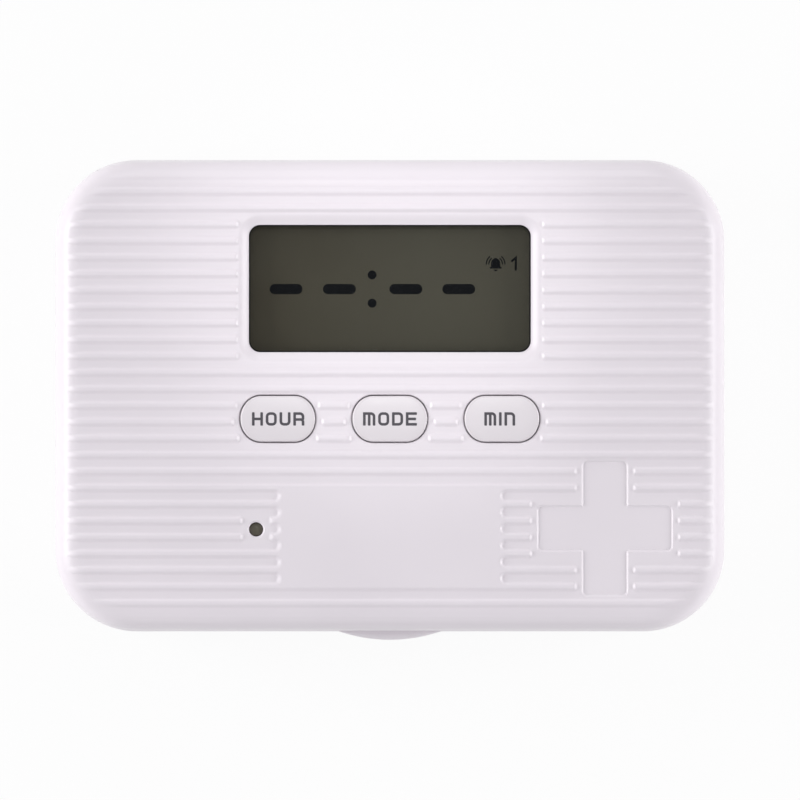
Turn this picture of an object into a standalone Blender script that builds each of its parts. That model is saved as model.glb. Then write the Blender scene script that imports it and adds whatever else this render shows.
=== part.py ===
# Pill box with timer: a hinged box with four pill wells in its base and a clock in its lid.
# Units are metres, +Z is up, the hinge is at the rear (+Y) and the thumb lip at the front (-Y).

import math

import bmesh
import bpy
from mathutils import Matrix, Vector

MM = 0.001
HALF_TURN = math.pi
FULL_TURN = math.tau
QUARTER_TURN = math.pi / 2
SMOOTH_ANGLE = math.radians(35.0)

# Whole box
BODY_WIDTH = 120.0 * MM
FRONT_ROOM = 5.7 * MM
BAY_TO_BUTTONS = 5.365 * MM
BUTTONS_TO_WINDOW = 7.635 * MM
REAR_ROOM = 11.85 * MM
CORNER_RADIUS = 15.5 * MM
SEAT_GAP = 0.3 * MM
OVERRUN = 1.0 * MM
CORNER_STEPS = 9
LEAST_ROUND_SHARE = 0.125

# Base
BASE_RIM_HEIGHT = 12.0 * MM
BASE_DRAFT = 0.5 * MM
BASE_EDGE_RADIUS = 2.0 * MM
RIM_BREAK = 0.2 * MM
STEP_RISE = 1.6 * MM
STEP_BREAK = 0.3 * MM
FOOT_INSET = 6.5 * MM
FOOT_HEIGHT = 0.6 * MM
FLOOR_THICKNESS = 1.6 * MM
WELL_WALL = 1.4 * MM
WELL_DIVIDER = 1.8 * MM
WELL_DRAFT = 0.4 * MM
WELL_FLOOR_RADIUS = 3.0 * MM
WELL_CORNER_RADIUS = 4.0 * MM
WELL_STEPS = 5
HOLLOW_STEPS = 5

# Lid
SIDE_WALL = 1.8 * MM
TOP_WALL = 1.7 * MM
LID_DRAFT = 0.5 * MM
LID_EDGE_RADIUS = 3.0 * MM
LID_INNER_RADIUS = 1.3 * MM
EDGE_STEPS = 5
INNER_EDGE_STEPS = 2
LIP_WIDTH = 18.2 * MM
LIP_REACH = 1.5 * MM
LIP_HEIGHT = 3.2 * MM
LIP_ROUND = 1.0 * MM
LIP_STEPS = 12
LIP_PROFILE_SHARES = ((1.0, 1.0), (0.75, 0.25), (0.3, 0.0))
LATCH_WIDTH = 14.0 * MM
LATCH_HEIGHT = 0.5 * MM
LATCH_PROUD = 0.15 * MM

# Hinge
KNUCKLE_RADIUS = 2.0 * MM
HINGE_FLUSH = 0.1 * MM
PIN_RADIUS = 0.7 * MM
HINGE_STATION_SHARE = 0.5
BASE_KNUCKLE_WIDTH = 5.0 * MM
LID_KNUCKLE_WIDTH = 8.0 * MM
HINGE_POCKET_WALL = 1.2 * MM
HINGE_CLEAR_ANGLE = math.radians(58.0)
ROUND_SIDES = 14

# Ribs on the lid's face
RIB_PITCH = 2.94 * MM
RIB_EDGE_ROOM = 5.5 * MM
RIB_WIDTH = 1.15 * MM
RIB_HEIGHT = 0.4 * MM
RIB_END_INSET = 3.4 * MM
RIB_END_CLEAR = 1.2 * MM
RIB_SECTION_SHARES = ((-0.17, -0.7), (0.17, 0.7), (0.33, 1.0))
RIB_END_STEPS = 3

# Display
WINDOW_WIDTH = 50.3 * MM
WINDOW_HEIGHT = 22.7 * MM
WINDOW_RADIUS = 2.0 * MM
DISH_WIDTH = 2.1 * MM
DISH_DEPTH = 0.7 * MM
DISH_STEPS = 4
PANE_PLAY = 0.2 * MM
PANE_SUNK = 0.1 * MM
PANE_FLANGE = 1.3 * MM
PANE_FLANGE_THICKNESS = 0.8 * MM
PANE_BREAK = 0.15 * MM
GLASS_MARGIN = 2.0 * MM
GLASS_THICKNESS = 2.2 * MM
HOLDER_WALL = 2.2 * MM
HOLDER_LEDGE = 1.6 * MM
HOLDER_STEPS = 2
STRIP_WIDTH = 2.0 * MM
STRIP_SHARE = 0.86

# Buttons
BUTTON_WIDTH = 13.85 * MM
BUTTON_HEIGHT = 8.55 * MM
BUTTON_END = 3.9 * MM
BUTTON_PITCH = 20.0 * MM
BUTTON_GAP = 0.25 * MM
BUTTON_PROUD = 0.3 * MM
BUTTON_CROWN = 0.1 * MM
BUTTON_EDGE = 0.3 * MM
BUTTON_FLANGE = 1.0 * MM
BUTTON_FLANGE_THICKNESS = 1.0 * MM
BUTTON_STEM = 0.6 * MM
BUTTON_STEM_RADIUS = 1.6 * MM
BUTTON_TRAVEL = 0.5 * MM
BUTTON_END_STEPS = 8
RIB_BUTTON_CLEAR = 1.1 * MM
SWITCH_SIZE = 6.0 * MM
SWITCH_HEIGHT = 3.5 * MM
SWITCH_WELL_DEPTH = 2.3 * MM
PLUNGER_RADIUS = 1.6 * MM
PLUNGER_PROUD = 0.8 * MM

# Indicator lamp
LAMP_BESIDE_PANEL = 3.97 * MM
LAMP_ABOVE_PANEL = 1.3 * MM
LAMP_HOLE_RADIUS = 1.27 * MM
LAMP_CHAMFER = 0.33 * MM
LAMP_RADIUS = 1.5 * MM
LAMP_FLANGE_RADIUS = 1.9 * MM
LAMP_FLANGE_THICKNESS = 1.0 * MM
RIB_LAMP_CLEAR = 1.3 * MM

# Label panel and cross on the face
PANEL_WIDTH = 39.8 * MM
PANEL_HEIGHT = 18.75 * MM
PANEL_RADIUS = 0.5 * MM
PANEL_STEPS = 2
PANEL_SLOPE = 0.2 * MM
PANEL_RISE = 0.42 * MM
CROSS_FROM_SIDE = 21.6 * MM
CROSS_ABOVE_PANEL = 1.46 * MM
CROSS_SPAN = 24.0 * MM
CROSS_ARM = 8.0 * MM
CROSS_DEPTH = 0.3 * MM
CROSS_SLOPE = 0.2 * MM
CROSS_MARGIN = 1.2 * MM

# Battery bay in the lid, with two cells side by side
CELL_RADIUS = 5.25 * MM
CELL_LENGTH = 44.5 * MM
CELL_BUTTON_RADIUS = 1.9 * MM
CELL_BUTTON_LENGTH = 1.0 * MM
CELL_EDGE = 0.5 * MM
CELL_SPACING = 0.6 * MM
CELL_SIDES = 20
BAY_WALL = 1.2 * MM
SPRING_ROOM = 4.0 * MM
PLATE_ROOM = 1.2 * MM
PLATE_THICKNESS = 0.4 * MM
PLATE_WIDTH = 8.0 * MM
PLATE_HEIGHT = 8.0 * MM
TAIL_WIDTH = 3.0 * MM
TAIL_OVERLAP = 2.0 * MM
SPRING_WIRE = 0.25 * MM
SPRING_BASE_RADIUS = 3.4 * MM
SPRING_TIP_RADIUS = 1.4 * MM
SPRING_TURNS = 2.75
SPRING_TURN_POINTS = 10

# Inner cover and battery door
COVER_THICKNESS = 1.8 * MM
DOOR_THICKNESS = 1.4 * MM
DOOR_TRAVEL = 4.0 * MM
DOOR_TAB_LENGTH = 3.4 * MM
DOOR_TAB_REACH = 1.0 * MM
DOOR_TAB_THICKNESS = 0.5 * MM
DOOR_LIP = 0.5 * MM
DOOR_TAB_SHARES = (0.14, 0.7)
DOOR_GRIP_WIDTH = 0.8 * MM
DOOR_GRIP_LENGTH = 9.0 * MM
DOOR_GRIP_DEPTH = 0.4 * MM
DOOR_GRIP_COUNT = 3
DOOR_GRIP_INSET = 4.0 * MM
DOOR_GRIP_PITCH = 1.6 * MM
POCKET_PAD = 1.2 * MM
SOUND_SLOT_LENGTH = 9.0 * MM
SOUND_SLOT_WIDTH = 1.2 * MM
SOUND_SLOT_PITCH = 2.6 * MM
SOUND_SLOT_COUNT = 4

# Screws
COVER_SCREW_SIDE_ROOM = 9.5 * MM
COVER_SCREW_END_ROOM = 11.8 * MM
COVER_HEAD_RADIUS = 1.9 * MM
COVER_HEAD_HEIGHT = 1.3 * MM
COVER_SHANK_RADIUS = 0.8 * MM
COVER_SHANK_LENGTH = 6.5 * MM
COVER_BOSS_RADIUS = 3.4 * MM
COVER_BOSS_FLOOR = 1.2 * MM
LID_BOSS_RADIUS = 2.4 * MM
BOARD_HEAD_RADIUS = 1.6 * MM
BOARD_HEAD_HEIGHT = 1.1 * MM
BOARD_SHANK_RADIUS = 0.7 * MM
BOARD_SHANK_LENGTH = 5.0 * MM
BOARD_POST_RADIUS = 2.2 * MM
SCREW_SOCKET_RADIUS = 0.6 * MM
SCREW_SOCKET_DEPTH = 0.6 * MM
SCREW_SIDES = 12
SOCKET_SIDES = 6

# Circuit board and what it carries
BOARD_THICKNESS = 1.2 * MM
BOARD_SIDE_ROOM = 15.0 * MM
BOARD_END_ROOM = 1.4 * MM
BOARD_TO_BAY = 0.8 * MM
BOARD_LEG_ROOM = 11.3 * MM
BOARD_PAST_LAMP = 0.67 * MM
BOARD_CORNER = 1.0 * MM
BUZZER_TO_HOLDER = 2.35 * MM
BUZZER_RADIUS = 6.0 * MM
BUZZER_HEIGHT = 5.4 * MM
BUZZER_PORT_RADIUS = 1.2 * MM
BUZZER_PORT_DEPTH = 2.0 * MM
BUZZER_SIDES = 24
DOME_STEPS = 4
CHIP_RADIUS = 6.0 * MM
CHIP_HEIGHT = 1.4 * MM
CHIP_OFFSET = 6.0 * MM
CRYSTAL_RADIUS = 1.0 * MM
CRYSTAL_LENGTH = 6.0 * MM
CRYSTAL_OFFSET = 14.0 * MM

# Heights that follow from the sizes above
STEP_TOP_Z = BASE_RIM_HEIGHT + STEP_RISE
LID_RIM_Z = BASE_RIM_HEIGHT + SEAT_GAP
COVER_LOW_Z = STEP_TOP_Z + SEAT_GAP
COVER_TOP_Z = COVER_LOW_Z + COVER_THICKNESS
DOOR_TOP_Z = COVER_LOW_Z + DOOR_THICKNESS
CELL_Z = DOOR_TOP_Z + SEAT_GAP + CELL_RADIUS
CEILING_Z = CELL_Z + CELL_RADIUS + SEAT_GAP
FACE_Z = CEILING_Z + TOP_WALL
HUNG_Z = CEILING_Z - SEAT_GAP
KEY_FLANGE_Z = HUNG_Z - BUTTON_FLANGE_THICKNESS
PLUNGER_TOP_Z = KEY_FLANGE_Z - BUTTON_STEM - SEAT_GAP
BOARD_TOP_Z = PLUNGER_TOP_Z - PLUNGER_PROUD - SWITCH_HEIGHT - SEAT_GAP
BOARD_LOW_Z = BOARD_TOP_Z - BOARD_THICKNESS
ON_BOARD_Z = BOARD_TOP_Z + SEAT_GAP
UNDER_BOARD_Z = BOARD_LOW_Z - SEAT_GAP
DISH_FLOOR_Z = FACE_Z - DISH_DEPTH
PANE_LOW_Z = HUNG_Z - PANE_FLANGE_THICKNESS
GLASS_TOP_Z = PANE_LOW_Z - SEAT_GAP
GLASS_LOW_Z = GLASS_TOP_Z - GLASS_THICKNESS
HINGE_Z = BASE_RIM_HEIGHT + SEAT_GAP / 2

# Plan lines that follow from the sizes above, with the box's depth worked out from what its lid holds
CELL_PITCH = 2 * CELL_RADIUS + CELL_SPACING
BAY_HALF_DEPTH = CELL_PITCH / 2 + CELL_RADIUS + CELL_SPACING
BODY_DEPTH = (FRONT_ROOM + 2 * BAY_HALF_DEPTH + BAY_TO_BUTTONS + BUTTON_HEIGHT + BUTTONS_TO_WINDOW
              + WINDOW_HEIGHT + REAR_ROOM)
HALF_WIDTH = BODY_WIDTH / 2
HALF_DEPTH = BODY_DEPTH / 2
WINDOW_Y = HALF_DEPTH - REAR_ROOM - WINDOW_HEIGHT / 2
BUTTON_Y = WINDOW_Y - WINDOW_HEIGHT / 2 - BUTTONS_TO_WINDOW - BUTTON_HEIGHT / 2
BAY_Y = BUTTON_Y - BUTTON_HEIGHT / 2 - BAY_TO_BUTTONS - BAY_HALF_DEPTH
PANEL_Y = BAY_Y
LAMP_X = -PANEL_WIDTH / 2 - LAMP_BESIDE_PANEL
LAMP_Y = PANEL_Y + LAMP_ABOVE_PANEL
CROSS_X = HALF_WIDTH - CROSS_FROM_SIDE
CROSS_Y = PANEL_Y + CROSS_ABOVE_PANEL
CENTRE_Y = LIP_REACH / 2
HINGE_STATION_X = HALF_WIDTH * HINGE_STATION_SHARE
RIB_COUNT = int((BODY_DEPTH - 2 * RIB_EDGE_ROOM) / RIB_PITCH) + 1
HINGE_INSET = KNUCKLE_RADIUS + HINGE_FLUSH
HINGE_Y = HALF_DEPTH - HINGE_INSET
HINGE_WALL = HINGE_INSET + KNUCKLE_RADIUS + SEAT_GAP + HINGE_POCKET_WALL
STEP_INSET = SIDE_WALL + SEAT_GAP
STEP_REAR = HINGE_WALL + SEAT_GAP
COVER_INSET = SIDE_WALL + LID_DRAFT + SEAT_GAP
COVER_SCREW_X = HALF_WIDTH - COVER_SCREW_SIDE_ROOM
COVER_SCREW_Y = HALF_DEPTH - COVER_SCREW_END_ROOM
BOARD_HALF_WIDTH = HALF_WIDTH - BOARD_SIDE_ROOM
BOARD_REAR_Y = HALF_DEPTH - HINGE_WALL - BOARD_END_ROOM
BOARD_FRONT_Y = BAY_Y + BAY_HALF_DEPTH + BAY_WALL + BOARD_TO_BAY
BOARD_LEG_FRONT_Y = -HALF_DEPTH + BOARD_LEG_ROOM
BOARD_LEG_RIGHT = LAMP_X + LAMP_FLANGE_RADIUS + BOARD_PAST_LAMP
BAY_LEFT = BOARD_LEG_RIGHT + BOARD_TO_BAY + BAY_WALL
BAY_LENGTH = CELL_LENGTH + SPRING_ROOM + PLATE_ROOM
BAY_RIGHT = BAY_LEFT + BAY_LENGTH
GLASS_WIDTH = WINDOW_WIDTH + 2 * GLASS_MARGIN
GLASS_HEIGHT = WINDOW_HEIGHT + 2 * GLASS_MARGIN
BUZZER_X = GLASS_WIDTH / 2 + SEAT_GAP + HOLDER_WALL + BUZZER_TO_HOLDER + BUZZER_RADIUS
BUZZER_Y = WINDOW_Y
CHIP_X = -CHIP_OFFSET
CHIP_Y = WINDOW_Y
CRYSTAL_X = CRYSTAL_OFFSET
CRYSTAL_Y = WINDOW_Y
BORE_RADIUS = PIN_RADIUS + SEAT_GAP
POCKET_RADIUS = KNUCKLE_RADIUS + SEAT_GAP
STATION_WIDTH = LID_KNUCKLE_WIDTH + 2 * BASE_KNUCKLE_WIDTH + 2 * SEAT_GAP
COVER_BOSS_TOP_Z = COVER_LOW_Z + SEAT_GAP + COVER_HEAD_HEIGHT + SEAT_GAP + COVER_BOSS_FLOOR
COVER_SHANK_TOP_Z = COVER_LOW_Z + SEAT_GAP + COVER_HEAD_HEIGHT + COVER_SHANK_LENGTH
BOARD_SCREWS = {
    "board_screw_left": (-BOARD_HALF_WIDTH + 2 * BOARD_POST_RADIUS, WINDOW_Y),
    "board_screw_right": (BOARD_HALF_WIDTH - 2 * BOARD_POST_RADIUS, BUTTON_Y),
    "board_screw_front": (-BOARD_HALF_WIDTH + 2 * BOARD_POST_RADIUS, LAMP_Y),
}
COVER_SCREWS = {
    "cover_screw_front_left": (-COVER_SCREW_X, -COVER_SCREW_Y),
    "cover_screw_front_right": (COVER_SCREW_X, -COVER_SCREW_Y),
    "cover_screw_rear_left": (-COVER_SCREW_X, COVER_SCREW_Y),
    "cover_screw_rear_right": (COVER_SCREW_X, COVER_SCREW_Y),
}
BUTTON_PLACES = {"hour": -BUTTON_PITCH, "mode": 0.0, "minute": BUTTON_PITCH}

# Colours as red, green, blue, then roughness and metallic
FINISHES = {
    "white_shell": ((0.84, 0.82, 0.85), 0.42, 0.0),
    "white_key": ((0.82, 0.81, 0.83), 0.38, 0.0),
    "clear_pane": ((0.62, 0.63, 0.60), 0.06, 0.0),
    "display_glass": ((0.055, 0.052, 0.042), 0.12, 0.0),
    "holder_plastic": ((0.70, 0.70, 0.68), 0.50, 0.0),
    "contact_rubber": ((0.08, 0.08, 0.09), 0.80, 0.0),
    "board_green": ((0.03, 0.16, 0.07), 0.45, 0.0),
    "black_resin": ((0.02, 0.02, 0.02), 0.30, 0.0),
    "steel": ((0.62, 0.62, 0.63), 0.28, 1.0),
    "nickel": ((0.70, 0.68, 0.64), 0.25, 1.0),
    "switch_black": ((0.04, 0.04, 0.045), 0.45, 0.0),
    "lamp_resin": ((0.12, 0.11, 0.07), 0.18, 0.0),
    "cell_jacket": ((0.10, 0.11, 0.13), 0.35, 0.0),
}


# Scene and materials

def clear_scene():
    """Empty the scene."""
    for obj in list(bpy.data.objects):
        bpy.data.objects.remove(obj, do_unlink=True)


def material(finish):
    """The material of a finish, made once."""
    existing = bpy.data.materials.get(finish)
    if existing:
        return existing
    colour, roughness, metallic = FINISHES[finish]
    made = bpy.data.materials.new(finish)
    made.use_nodes = True
    shader = made.node_tree.nodes["Principled BSDF"]
    shader.inputs["Base Color"].default_value = (*colour, 1.0)
    shader.inputs["Roughness"].default_value = roughness
    shader.inputs["Metallic"].default_value = metallic
    made.diffuse_color = (*colour, 1.0)
    return made


# Outlines: lists of plan points, counter-clockwise from above

def arc(centre, radius_x, radius_y, start, sweep, steps):
    """Points along an elliptical arc, both ends included."""
    turns = [start + sweep * step / steps for step in range(steps + 1)]
    return [(centre[0] + radius_x * math.cos(turn), centre[1] + radius_y * math.sin(turn))
            for turn in turns]


def corner_outline(left, right, front, rear, radii, steps):
    """A rectangle with round corners; radii run front right, rear right, rear left, front left."""
    signs = ((1, -1, right, front), (1, 1, right, rear), (-1, 1, left, rear), (-1, -1, left, front))
    points = []
    for index, (sign_x, sign_y, side, end) in enumerate(signs):
        radius = radii[index]
        centre = (side - sign_x * radius, end - sign_y * radius)
        points += arc(centre, radius, radius, QUARTER_TURN * (index - 1), QUARTER_TURN, steps)
    return points


def even_outline(centre, width, height, radius, steps):
    """A rectangle with four like corners round a centre."""
    return corner_outline(centre[0] - width / 2, centre[0] + width / 2, centre[1] - height / 2,
                          centre[1] + height / 2, [radius] * 4, steps)


def box_outline(inset, rear_inset, steps=CORNER_STEPS):
    """The box's plan drawn in by an inset, with its rear wall drawn in by its own."""
    return corner_outline(-HALF_WIDTH + inset, HALF_WIDTH - inset, -HALF_DEPTH + inset,
                          HALF_DEPTH - rear_inset, [CORNER_RADIUS - inset] * 4, steps)


def stadium_outline(centre, width, height, end, steps):
    """A bar with half-ellipse ends."""
    half = width / 2 - end
    points = arc((centre[0] + half, centre[1]), end, height / 2, -QUARTER_TURN, HALF_TURN, steps)
    points += arc((centre[0] - half, centre[1]), end, height / 2, QUARTER_TURN, HALF_TURN, steps)
    return points


def key_outline(x, outset, steps=BUTTON_END_STEPS):
    """A button's plan, grown outwards by an outset."""
    return stadium_outline((x, BUTTON_Y), BUTTON_WIDTH + 2 * outset, BUTTON_HEIGHT + 2 * outset,
                           BUTTON_END + outset, steps)


def circle_outline(centre, radius, sides):
    """A circle's plan."""
    return arc(centre, radius, radius, -QUARTER_TURN, FULL_TURN * (sides - 1) / sides, sides - 1)


def level(outline, height):
    """An outline lifted to a height."""
    return [(x, y, height) for x, y in outline]


# Solids: each of these adds one closed body to a mesh under construction

def add_loft(mesh, rings):
    """A body through rings of like point counts, closed by a face at each end."""
    rows = [[mesh.verts.new(point) for point in ring] for ring in rings]
    count = len(rows[0])
    for lower, upper in zip(rows, rows[1:]):
        for index in range(count):
            after = (index + 1) % count
            mesh.faces.new((lower[index], lower[after], upper[after], upper[index]))
    mesh.faces.new(list(reversed(rows[0])))
    mesh.faces.new(rows[-1])


def add_prism(mesh, outline, low, high):
    """An outline with straight walls between two heights."""
    add_loft(mesh, [level(outline, low), level(outline, high)])


def add_block(mesh, low, high):
    """A block between two corners."""
    outline = [(low[0], low[1]), (high[0], low[1]), (high[0], high[1]), (low[0], high[1])]
    add_prism(mesh, outline, low[2], high[2])


def add_post(mesh, centre, radius, low, high, sides=ROUND_SIDES):
    """An upright round post."""
    add_prism(mesh, circle_outline(centre, radius, sides), low, high)


def add_turned(mesh, centre, profile, sides=ROUND_SIDES):
    """An upright turned body; the profile runs from bottom to top as (radius, height)."""
    add_loft(mesh, [level(circle_outline(centre, radius, sides), height) for radius, height in profile])


def add_rod(mesh, start, length, profile, sides=ROUND_SIDES):
    """A body turned about a line along X; the profile gives (share of the length, radius)."""
    rings = []
    for share, radius in profile:
        circle = arc((start[1], start[2]), radius, radius, 0.0, FULL_TURN * (sides - 1) / sides, sides - 1)
        rings.append([(start[0] + length * share, y, z) for y, z in circle])
    add_loft(mesh, rings)


def make_object(name, mesh, finish=None):
    """Turn a mesh under construction into an object of the scene."""
    bmesh.ops.recalc_face_normals(mesh, faces=mesh.faces)
    data = bpy.data.meshes.new(name)
    mesh.to_mesh(data)
    mesh.free()
    made = bpy.data.objects.new(name, data)
    bpy.context.collection.objects.link(made)
    if finish:
        data.materials.append(material(finish))
    return made


def solid(name, finish, builder, *sizes, **options):
    """An object holding one body from one of the add functions."""
    mesh = bmesh.new()
    builder(mesh, *sizes, **options)
    return make_object(name, mesh, finish)


def combine(target, tool, operation):
    """Join a tool body to a target, or cut it away, and drop the tool."""
    modifier = target.modifiers.new(operation.lower(), "BOOLEAN")
    modifier.operation = operation
    modifier.solver = "EXACT"
    modifier.object = tool
    graph = bpy.context.evaluated_depsgraph_get()
    result = bpy.data.meshes.new_from_object(target.evaluated_get(graph))
    target.modifiers.clear()
    target.data = result
    bpy.data.objects.remove(tool, do_unlink=True)


def tool_object(builds):
    """One tool object holding several separate bodies, each given as (builder, sizes...)."""
    mesh = bmesh.new()
    for builder, *sizes in builds:
        builder(mesh, *sizes)
    return make_object("tool", mesh)


def join(target, *builds):
    """Add bodies to a target."""
    combine(target, tool_object(builds), "UNION")


def cut(target, *builds):
    """Cut bodies out of a target."""
    combine(target, tool_object(builds), "DIFFERENCE")


def smooth(made):
    """Shade round faces smooth and keep the sharp edges."""
    made.data.shade_smooth()
    made.data.set_sharp_from_angle(angle=SMOOTH_ANGLE)
    return made


# Pivots

def pivot(name, place, parent=None):
    """An empty that carries what turns or slides with it; its place is in the box's own plan frame."""
    made = bpy.data.objects.new(name, None)
    bpy.context.collection.objects.link(made)
    made.parent = parent
    made.location = Vector(place) - (Vector(parent["place"]) if parent else Vector())
    made["place"] = place
    made.empty_display_size = KNUCKLE_RADIUS
    return made


def attach(made, carrier, origin=None):
    """Hang an object on a pivot, with its origin at a point of the box's plan frame."""
    seat = Vector(origin if origin else carrier["place"])
    made.data.transform(Matrix.Translation(-seat))
    made.parent = carrier
    made.location = seat - Vector(carrier["place"])
    return smooth(made)


# Hinge shapes shared by the two shells

def hinge_wedge(direction):
    """The V-shaped relief along the rear edge; direction is +1 for the lid and -1 for the base."""
    reach = HINGE_INSET + OVERRUN
    rise = direction * reach * math.tan(HINGE_CLEAR_ANGLE)
    below = -direction * OVERRUN
    outer = HINGE_Y + reach
    section = [(HINGE_Y, HINGE_Z + below), (outer, HINGE_Z + below), (outer, HINGE_Z + rise),
               (HINGE_Y, HINGE_Z)]
    return [[(x, y, z) for y, z in section] for x in (-BODY_WIDTH, BODY_WIDTH)]


def add_hinge_rod(mesh, centre_x, width, radius):
    """A round bar along the hinge line."""
    add_rod(mesh, (centre_x - width / 2, HINGE_Y, HINGE_Z), width, [(0, radius), (1, radius)])


def base_knuckle_centres(station):
    """The middles of the two base knuckles of a hinge station."""
    offset = (LID_KNUCKLE_WIDTH + BASE_KNUCKLE_WIDTH) / 2 + SEAT_GAP
    return [station - offset, station + offset]


STATIONS = {"left": -HINGE_STATION_X, "right": HINGE_STATION_X}


# Base

def well_rings(left, right, front, rear, radii):
    """The rings of one pill well, from its rounded floor up past the step's top."""
    floor = FOOT_HEIGHT + FLOOR_THICKNESS
    rings = []
    for step in range(WELL_STEPS):
        turn = QUARTER_TURN * step / (WELL_STEPS - 1)
        inset = WELL_DRAFT + WELL_FLOOR_RADIUS * (1 - math.sin(turn))
        height = floor + WELL_FLOOR_RADIUS * (1 - math.cos(turn))
        rings.append((inset, height))
    rings.append((0.0, STEP_TOP_Z))
    rings.append((0.0, STEP_TOP_Z + OVERRUN))
    return [level(corner_outline(left + inset, right - inset, front + inset, rear - inset,
                                 [max(radius - inset, radius * LEAST_ROUND_SHARE) for radius in radii],
                                 WELL_STEPS), height)
            for inset, height in rings]


def well_bounds():
    """The plan bounds of the four wells: left, right, front, rear and corner radii."""
    side = HALF_WIDTH - STEP_INSET - WELL_WALL
    front = -HALF_DEPTH + STEP_INSET + WELL_WALL
    rear = HALF_DEPTH - STEP_REAR - WELL_WALL
    middle = (front + rear) / 2
    half = WELL_DIVIDER / 2
    outer = CORNER_RADIUS - STEP_INSET - WELL_WALL
    inner = WELL_CORNER_RADIUS
    return [
        (-side, -half, front, middle - half, (inner, inner, inner, outer)),
        (half, side, front, middle - half, (outer, inner, inner, inner)),
        (-side, -half, middle + half, rear, (inner, inner, outer, inner)),
        (half, side, middle + half, rear, (inner, outer, inner, inner)),
    ]


def build_base_shell():
    """The lower shell: outer wall, foot ring, stepped rim, four wells, hinge knuckles and latch bead."""
    rings = []
    for step in range(EDGE_STEPS - 1):
        turn = QUARTER_TURN * step / (EDGE_STEPS - 2)
        inset = BASE_DRAFT + BASE_EDGE_RADIUS * (1 - math.sin(turn))
        rings.append(level(box_outline(inset, inset), BASE_EDGE_RADIUS * (1 - math.cos(turn))))
    rings.append(level(box_outline(0.0, 0.0), BASE_RIM_HEIGHT - RIM_BREAK))
    rings.append(level(box_outline(RIM_BREAK, RIM_BREAK), BASE_RIM_HEIGHT))
    rings.append(level(box_outline(STEP_INSET, STEP_REAR), BASE_RIM_HEIGHT))
    rings.append(level(box_outline(STEP_INSET, STEP_REAR), STEP_TOP_Z - STEP_BREAK))
    rings.append(level(box_outline(STEP_INSET + STEP_BREAK, STEP_REAR + STEP_BREAK), STEP_TOP_Z))
    shell = solid("base_shell", "white_shell", add_loft, rings)
    cut(shell, *[(add_loft, well_rings(*bounds)) for bounds in well_bounds()])
    recess_top = FOOT_INSET + FOOT_HEIGHT
    recess = [level(box_outline(FOOT_INSET, FOOT_INSET, WELL_STEPS), -OVERRUN),
              level(box_outline(recess_top, recess_top, WELL_STEPS), FOOT_HEIGHT)]
    cut(shell, (add_loft, recess))
    cut(shell, (add_loft, hinge_wedge(-1)))
    cut(shell, *[(add_hinge_rod, station, LID_KNUCKLE_WIDTH + 2 * SEAT_GAP, POCKET_RADIUS)
                 for station in STATIONS.values()])
    knuckles = [centre for station in STATIONS.values() for centre in base_knuckle_centres(station)]
    join(shell, *[(add_hinge_rod, centre, BASE_KNUCKLE_WIDTH, KNUCKLE_RADIUS) for centre in knuckles])
    cut(shell, *[(add_hinge_rod, station, STATION_WIDTH + 2 * OVERRUN, BORE_RADIUS)
                 for station in STATIONS.values()])
    bead_z = BASE_RIM_HEIGHT + (STEP_RISE - STEP_BREAK) / 2
    slim = -LATCH_PROUD / 2
    rise = LATCH_HEIGHT / 2
    profile = ((LATCH_PROUD, slim, -rise), (0.0, 0.0, 0.0), (LATCH_PROUD, slim, rise))
    bead = [level(stadium_outline((0.0, -HALF_DEPTH + STEP_INSET), LATCH_WIDTH - 2 * inset,
                                  2 * (LATCH_PROUD + swell), LATCH_PROUD, WELL_STEPS), bead_z + height)
            for inset, swell, height in profile]
    join(shell, (add_loft, bead))
    return shell


# Lid

def rib_span(y):
    """How far a rib at this y reaches from the middle line, following the round corners."""
    half = HALF_WIDTH - RIB_END_INSET
    radius = CORNER_RADIUS - RIB_END_INSET
    over = abs(y) - (HALF_DEPTH - CORNER_RADIUS)
    if over <= 0.0:
        return half
    return half - radius + math.sqrt(max(radius ** 2 - over ** 2, 0.0))


def oval_reach(y_from_centre, height, end, clear):
    """Half the width, past the straight part, of an oval grown by a clearance, at a distance in y."""
    half_height = height / 2 + clear
    if abs(y_from_centre) >= half_height:
        return None
    return (end + clear) * math.sqrt(1 - (y_from_centre / half_height) ** 2)


def face_gaps(y):
    """The stretches along X where the ribs at this y are interrupted."""
    gaps = []
    half_rib = RIB_WIDTH / 2
    if abs(y - WINDOW_Y) < WINDOW_HEIGHT / 2 + DISH_WIDTH + half_rib:
        reach = WINDOW_WIDTH / 2 + DISH_WIDTH
        gaps.append((-reach, reach))
    for x in BUTTON_PLACES.values():
        reach = oval_reach(y - BUTTON_Y, BUTTON_HEIGHT, BUTTON_END, RIB_BUTTON_CLEAR)
        if reach is not None:
            reach += BUTTON_WIDTH / 2 - BUTTON_END
            gaps.append((x - reach, x + reach))
    if abs(y - LAMP_Y) < LAMP_HOLE_RADIUS + LAMP_CHAMFER + half_rib:
        reach = LAMP_HOLE_RADIUS + RIB_LAMP_CLEAR
        gaps.append((LAMP_X - reach, LAMP_X + reach))
    if abs(y - PANEL_Y) < PANEL_HEIGHT / 2 + half_rib:
        reach = PANEL_WIDTH / 2 - RIB_WIDTH
        gaps.append((-reach, reach))
    if abs(y - CROSS_Y) < CROSS_ARM / 2 + CROSS_MARGIN + half_rib:
        reach = CROSS_SPAN / 2 + CROSS_MARGIN
        gaps.append((CROSS_X - reach, CROSS_X + reach))
    elif abs(y - CROSS_Y) < CROSS_SPAN / 2 + CROSS_MARGIN + half_rib:
        reach = CROSS_ARM / 2 + CROSS_MARGIN
        gaps.append((CROSS_X - reach, CROSS_X + reach))
    return sorted(gaps)


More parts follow.
